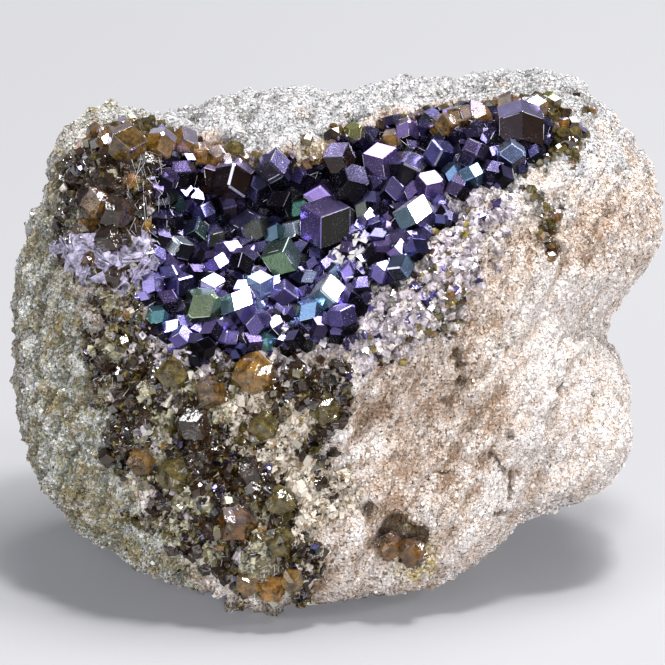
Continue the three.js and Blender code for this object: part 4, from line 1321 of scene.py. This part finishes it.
class GARNET_OT_brown(bpy.types.Operator):
    """Grows the brown and honey garnets of the wall, the flank, the foot and the pocket"""

    bl_idname = "garnet.brown"
    bl_label = "Brown garnets"

    def execute(self, context):
        forms = [garnet_form("worn", wear=0.05), garnet_form("broken", wear=0.09)]
        brown = garnet_material("brown garnet", context.scene.garnet_garnets, 1)
        groups = {
            "wall": (WALL_CRYSTALS, WALL_SEED, ["smoky", "cognac"]),
            "flank": (FLANK_CRYSTALS, FLANK_SEED, ["smoky", "olive", "cognac", "olive"]),
            "foot": (FOOT_CRYSTALS, FOOT_SEED, ["bare"]),
            "pocket": (POCKET_CRYSTALS, POCKET_SEED, None),
        }
        for name, (crystals, seed, looks) in groups.items():
            piece = grow_crystals(name + "_crystals", crystals, forms, seed, looks)
            clear = name == "foot"
            material = material_of("rainbow_garnets") if clear else brown
            settle(piece, material, "honey_garnet" if clear else "brown_garnet", name + "_garnets")
        discard(*forms)
        self.fill(brown)
        self.crumbs(["wall_crystals", "flank_crystals", "pocket_crystals"], brown)
        return {"FINISHED"}

    def fill(self, material):
        """Small garnets and broken pieces of garnet over the flank and the wall."""
        ground = Ground()
        zones = ground.zones
        misty = material_of("mist_fill")
        rng = np.random.default_rng(BROKEN_SEED)
        chances = np.maximum(zones["flank"] * (1 - 0.96 * zones["calcite"]), zones["wall"])
        chances = chances * (1 - zones["hollow"]) * (ground.middles[:, 2] > UNBROKEN_BELOW * MM)
        clear_of_foot = smoothstep(ground.distance(FOOT_CRYSTALS[1][:2]), 1.8, 2.8)
        chances = chances * (1 - 0.75 * zones["patch"]) * clear_of_foot
        groups = {
            "brown_fill": (garnet_form("small"), 480, 1.1, 0.45),
            "shards": (sugar_form("shard", (1, 0.8, 0.6)), 4200, 0.8, 0.28),
        }
        for name, (form, count, largest, least) in groups.items():
            picked = ground.pick(chances, count, rng)
            sizes = falling_sizes(len(picked), largest, least, 3)
            places = ground.above(picked, rng.uniform(-0.35, 0.1, len(picked)) * sizes)
            kept = spread(places, sizes)
            scales = sizes[kept, None] * rng.uniform(0.8, 1.3, (len(kept), 3))
            turns = random_turns(len(kept), rng)
            dark = choose_looks(FLANK_LOOKS, len(kept), rng)
            pale = choose_looks(PATCH_LOOKS, len(kept), rng)
            in_patch = zones["patch"][picked[kept]] > rng.uniform(0.2, 0.8, len(kept))
            looks = np.where(in_patch, pale, dark)
            cloudy = np.isin(looks, CLOUDY_LOOKS)
            parts = [(name, ~cloudy, material, "brown_garnet"), (name + "_pale", cloudy, misty, "skarn")]
            for part, chosen, part_material, slot in parts:
                piece = strewn(part, form, places[kept][chosen], turns[chosen], scales[chosen])
                colour_faces(piece.data, list(looks[chosen]), rng)
                settle(piece, part_material, slot)
            discard(form)

    def crumbs(self, names, material):
        """Loose crumbs of garnet and calcite that stick to the larger crystals."""
        rng = np.random.default_rng(CRUMB_SEED)
        form = sugar_form("crumb", (1, 0.7, 0.7))
        for name in names:
            mesh = bpy.data.objects[name].data
            middles = coordinates(mesh.polygons, "center")
            corners = coordinates(mesh.vertices)[first_vertices(mesh)]
            count = len(mesh.polygons) // 5
            picked = rng.choice(len(middles), count)
            places = middles[picked] + (corners - middles)[picked] * rng.uniform(-0.8, 0.8, (count, 1))
            turns = random_turns(count, rng)
            piece = strewn(name + "_crumbs", form, places, turns, rng.uniform(0.12, 0.34, count) * MM)
            colour_faces(piece.data, choose_looks(CRUMB_LOOKS, count, rng), rng)
            settle(piece, material, "brown_garnet")
        discard(form)


class GARNET_OT_fibres(bpy.types.Operator):
    """Lays pale silky blades between and along the crystals and over the left wall, and its plates"""

    bl_idname = "garnet.fibres"
    bl_label = "Silky fibres"

    def execute(self, context):
        ground = Ground()
        zones = ground.zones
        rng = np.random.default_rng(FIBRE_SEED)
        material = fibre_material()
        blade = blade_form("blade")
        down = np.array(FRONT_TO_PART @ Vector((0.35, -1, 0)))
        left_wall = zones["wall"] * smoothstep(ground.seen[:, 0], -15.4, -13.4)
        flank = zones["flank"] * (1 - zones["calcite"])
        film = smoothstep(-ground.distance(FILM), -FILM_REACH, 0) * (ground.faces_front > 0)
        groups = {
            "hollow_fibres": (zones["hollow"], 300, (0.5, 1.4), 0.04, 0.9, None),
            "wall_fibres": (left_wall, 110, (0.8, 2.6), 0.025, 0.6, down),
            "flank_fibres": (flank, 600, (0.3, 0.8), 0.03, 0.3, None),
            "film_plates": (film, 120, (0.4, 1.1), 0.6, 1.1, None),
        }
        for name, (chances, count, (least, most), width, rise, lean) in groups.items():
            picked = ground.pick(chances, count, rng)
            sizes = self.blade_sizes(rng.uniform(least, most, len(picked)), width, 0.03)
            places = ground.above(picked, rng.uniform(0.1, 1, len(picked)) * rise * MM)
            turns = along_surface(ground.normals[picked], rng, 0.3, lean)
            settle(strewn(name, blade, places, turns, sizes), material, "skarn")
        for name, count in {"rainbow_garnets": 260, "hollow_fill": 420}.items():
            places, turns, sizes = self.edges(bpy.data.objects[name].data, count, rng)
            settle(strewn(name + "_seams", blade, places, turns, sizes), material, "skarn")
        self.plates(ground, blade, rng)
        discard(blade)
        return {"FINISHED"}

    def blade_sizes(self, lengths, widths, thickness):
        """Sizes each way in metres, from sizes in millimetres."""
        return np.column_stack(np.broadcast_arrays(lengths, widths, thickness)) * MM

    def plates(self, ground, blade, rng):
        """Lilac-grey plates in a patch on the left."""
        picked = ground.pick(ground.zones["plates"], 220, rng)
        lengths = rng.uniform(0.6, 1.9, len(picked))
        sizes = self.blade_sizes(lengths, lengths * rng.uniform(0.5, 1.0, len(picked)), 0.06)
        places = ground.above(picked, rng.uniform(0.15, 0.6, len(picked)) * MM)
        turns = along_surface(ground.normals[picked], rng, 0.14)
        piece = strewn("wall_plates", blade, places, turns, sizes)
        colour_faces(piece.data, ["plate"] * len(picked), rng)
        settle(piece, material_of("mist_fill"), "brown_garnet")

    def edges(self, mesh, count, rng):
        """Places, turns and sizes of blades that fill some of the crystals' edges, the longer ones first."""
        ends = np.array([edge.vertices[:] for edge in mesh.edges])
        corners = coordinates(mesh.vertices)
        start, end = corners[ends[:, 0]], corners[ends[:, 1]]
        lengths = np.linalg.norm(end - start, axis=1)
        picked = rng.choice(len(ends), count, replace=False, p=lengths**2 / np.sum(lengths**2))
        ahead = (end - start)[picked] / lengths[picked, None]
        across = unit(np.cross(ahead, rng.normal(size=ahead.shape)))
        turns = np.stack([ahead, across, np.cross(ahead, across)], axis=2)
        widths = rng.uniform(0.02, 0.045, count) * MM
        sizes = np.column_stack([lengths[picked] * rng.uniform(0.3, 0.9, count), widths, widths])
        middles = start + (end - start) * rng.uniform(0.3, 0.7, len(ends))[:, None]
        return middles[picked], turns, sizes


class GARNET_OT_stage(bpy.types.Operator):
    """Sets the floor, the lights and the camera"""

    bl_idname = "garnet.stage"
    bl_label = "Stage"

    def execute(self, context):
        scene = context.scene
        settings = scene.garnet_stage
        just_below = (0, 0, -0.02 * MM)
        floor = new_primitive(bpy.ops.mesh.primitive_plane_add, "floor", size=6, location=just_below)
        r = Recipe("floor")
        plain = r.mix(r.noise(0.4, 2) * 0.15, settings.floor_colour, (0.24, 0.24, 0.25))
        glow = {"Emission Color": STUDIO_AIR, "Emission Strength": 0.2}
        floor.data.materials.append(r.finish(r.principled({"Base Color": plain, "Roughness": 0.6, **glow})))
        for name, (place, size, power, tint) in LIGHTS.items():
            self.light(name, place, size, power, tint)
        bpy.data.objects["low"].visible_glossy = False
        world = bpy.data.worlds.new("studio")
        scene.world = world
        world.use_nodes = True
        background = world.node_tree.nodes["Background"]
        background.inputs["Color"].default_value = STUDIO_AIR
        background.inputs["Strength"].default_value = 0.4
        scene.view_settings.view_transform = "Standard"
        scene.camera = self.camera(settings)
        return {"FINISHED"}

    def light(self, name, place, size, power, tint):
        data = bpy.data.lights.new(name, "AREA")
        data.shape = "SQUARE"
        data.size = size
        data.energy = power
        data.color = tint
        light = new_object(name, data)
        light.location = place
        light.rotation_euler = (Vector(LIGHTS_AIM) - Vector(place)).to_track_quat("-Z", "Y").to_euler()

    def camera(self, settings):
        data = bpy.data.cameras.new("camera")
        data.sensor_width = 36
        data.lens = data.sensor_width * settings.view_distance / settings.view_width
        data.clip_start = 0.01
        camera = new_object("camera", data)
        middle = front(0, 0, 0)
        camera.location = middle + FRONT_TO_PART @ Vector((0, 0, settings.view_distance))
        camera.rotation_euler = (middle - camera.location).to_track_quat("-Z", "Y").to_euler()
        return camera


class GARNET_PT_panel(bpy.types.Panel):
    """The pieces of the specimen, in the order that they are made"""

    bl_idname = "GARNET_PT_panel"
    bl_label = "Garnet specimen"
    bl_space_type = "VIEW_3D"
    bl_region_type = "UI"
    bl_category = "Garnet"

    def draw(self, context):
        for operator in OPERATORS:
            self.layout.operator(operator.bl_idname)


OPERATORS = (
    GARNET_OT_stone, GARNET_OT_sugar, GARNET_OT_rainbow, GARNET_OT_brown, GARNET_OT_fibres, GARNET_OT_stage
)
SETTINGS = {"garnet_stone": StoneSettings, "garnet_garnets": GarnetSettings, "garnet_stage": StageSettings}
CLASSES = (*SETTINGS.values(), *OPERATORS, GARNET_PT_panel)


def register():
    for cls in CLASSES:
        bpy.utils.register_class(cls)
    for name, cls in SETTINGS.items():
        setattr(bpy.types.Scene, name, bpy.props.PointerProperty(type=cls))


def unregister():
    for name in SETTINGS:
        delattr(bpy.types.Scene, name)
    for cls in reversed(CLASSES):
        bpy.utils.unregister_class(cls)


def main():
    register()
    for operator in OPERATORS:
        group, name = operator.bl_idname.split(".")
        getattr(getattr(bpy.ops, group), name)()


if __name__ == "__main__":
    main()
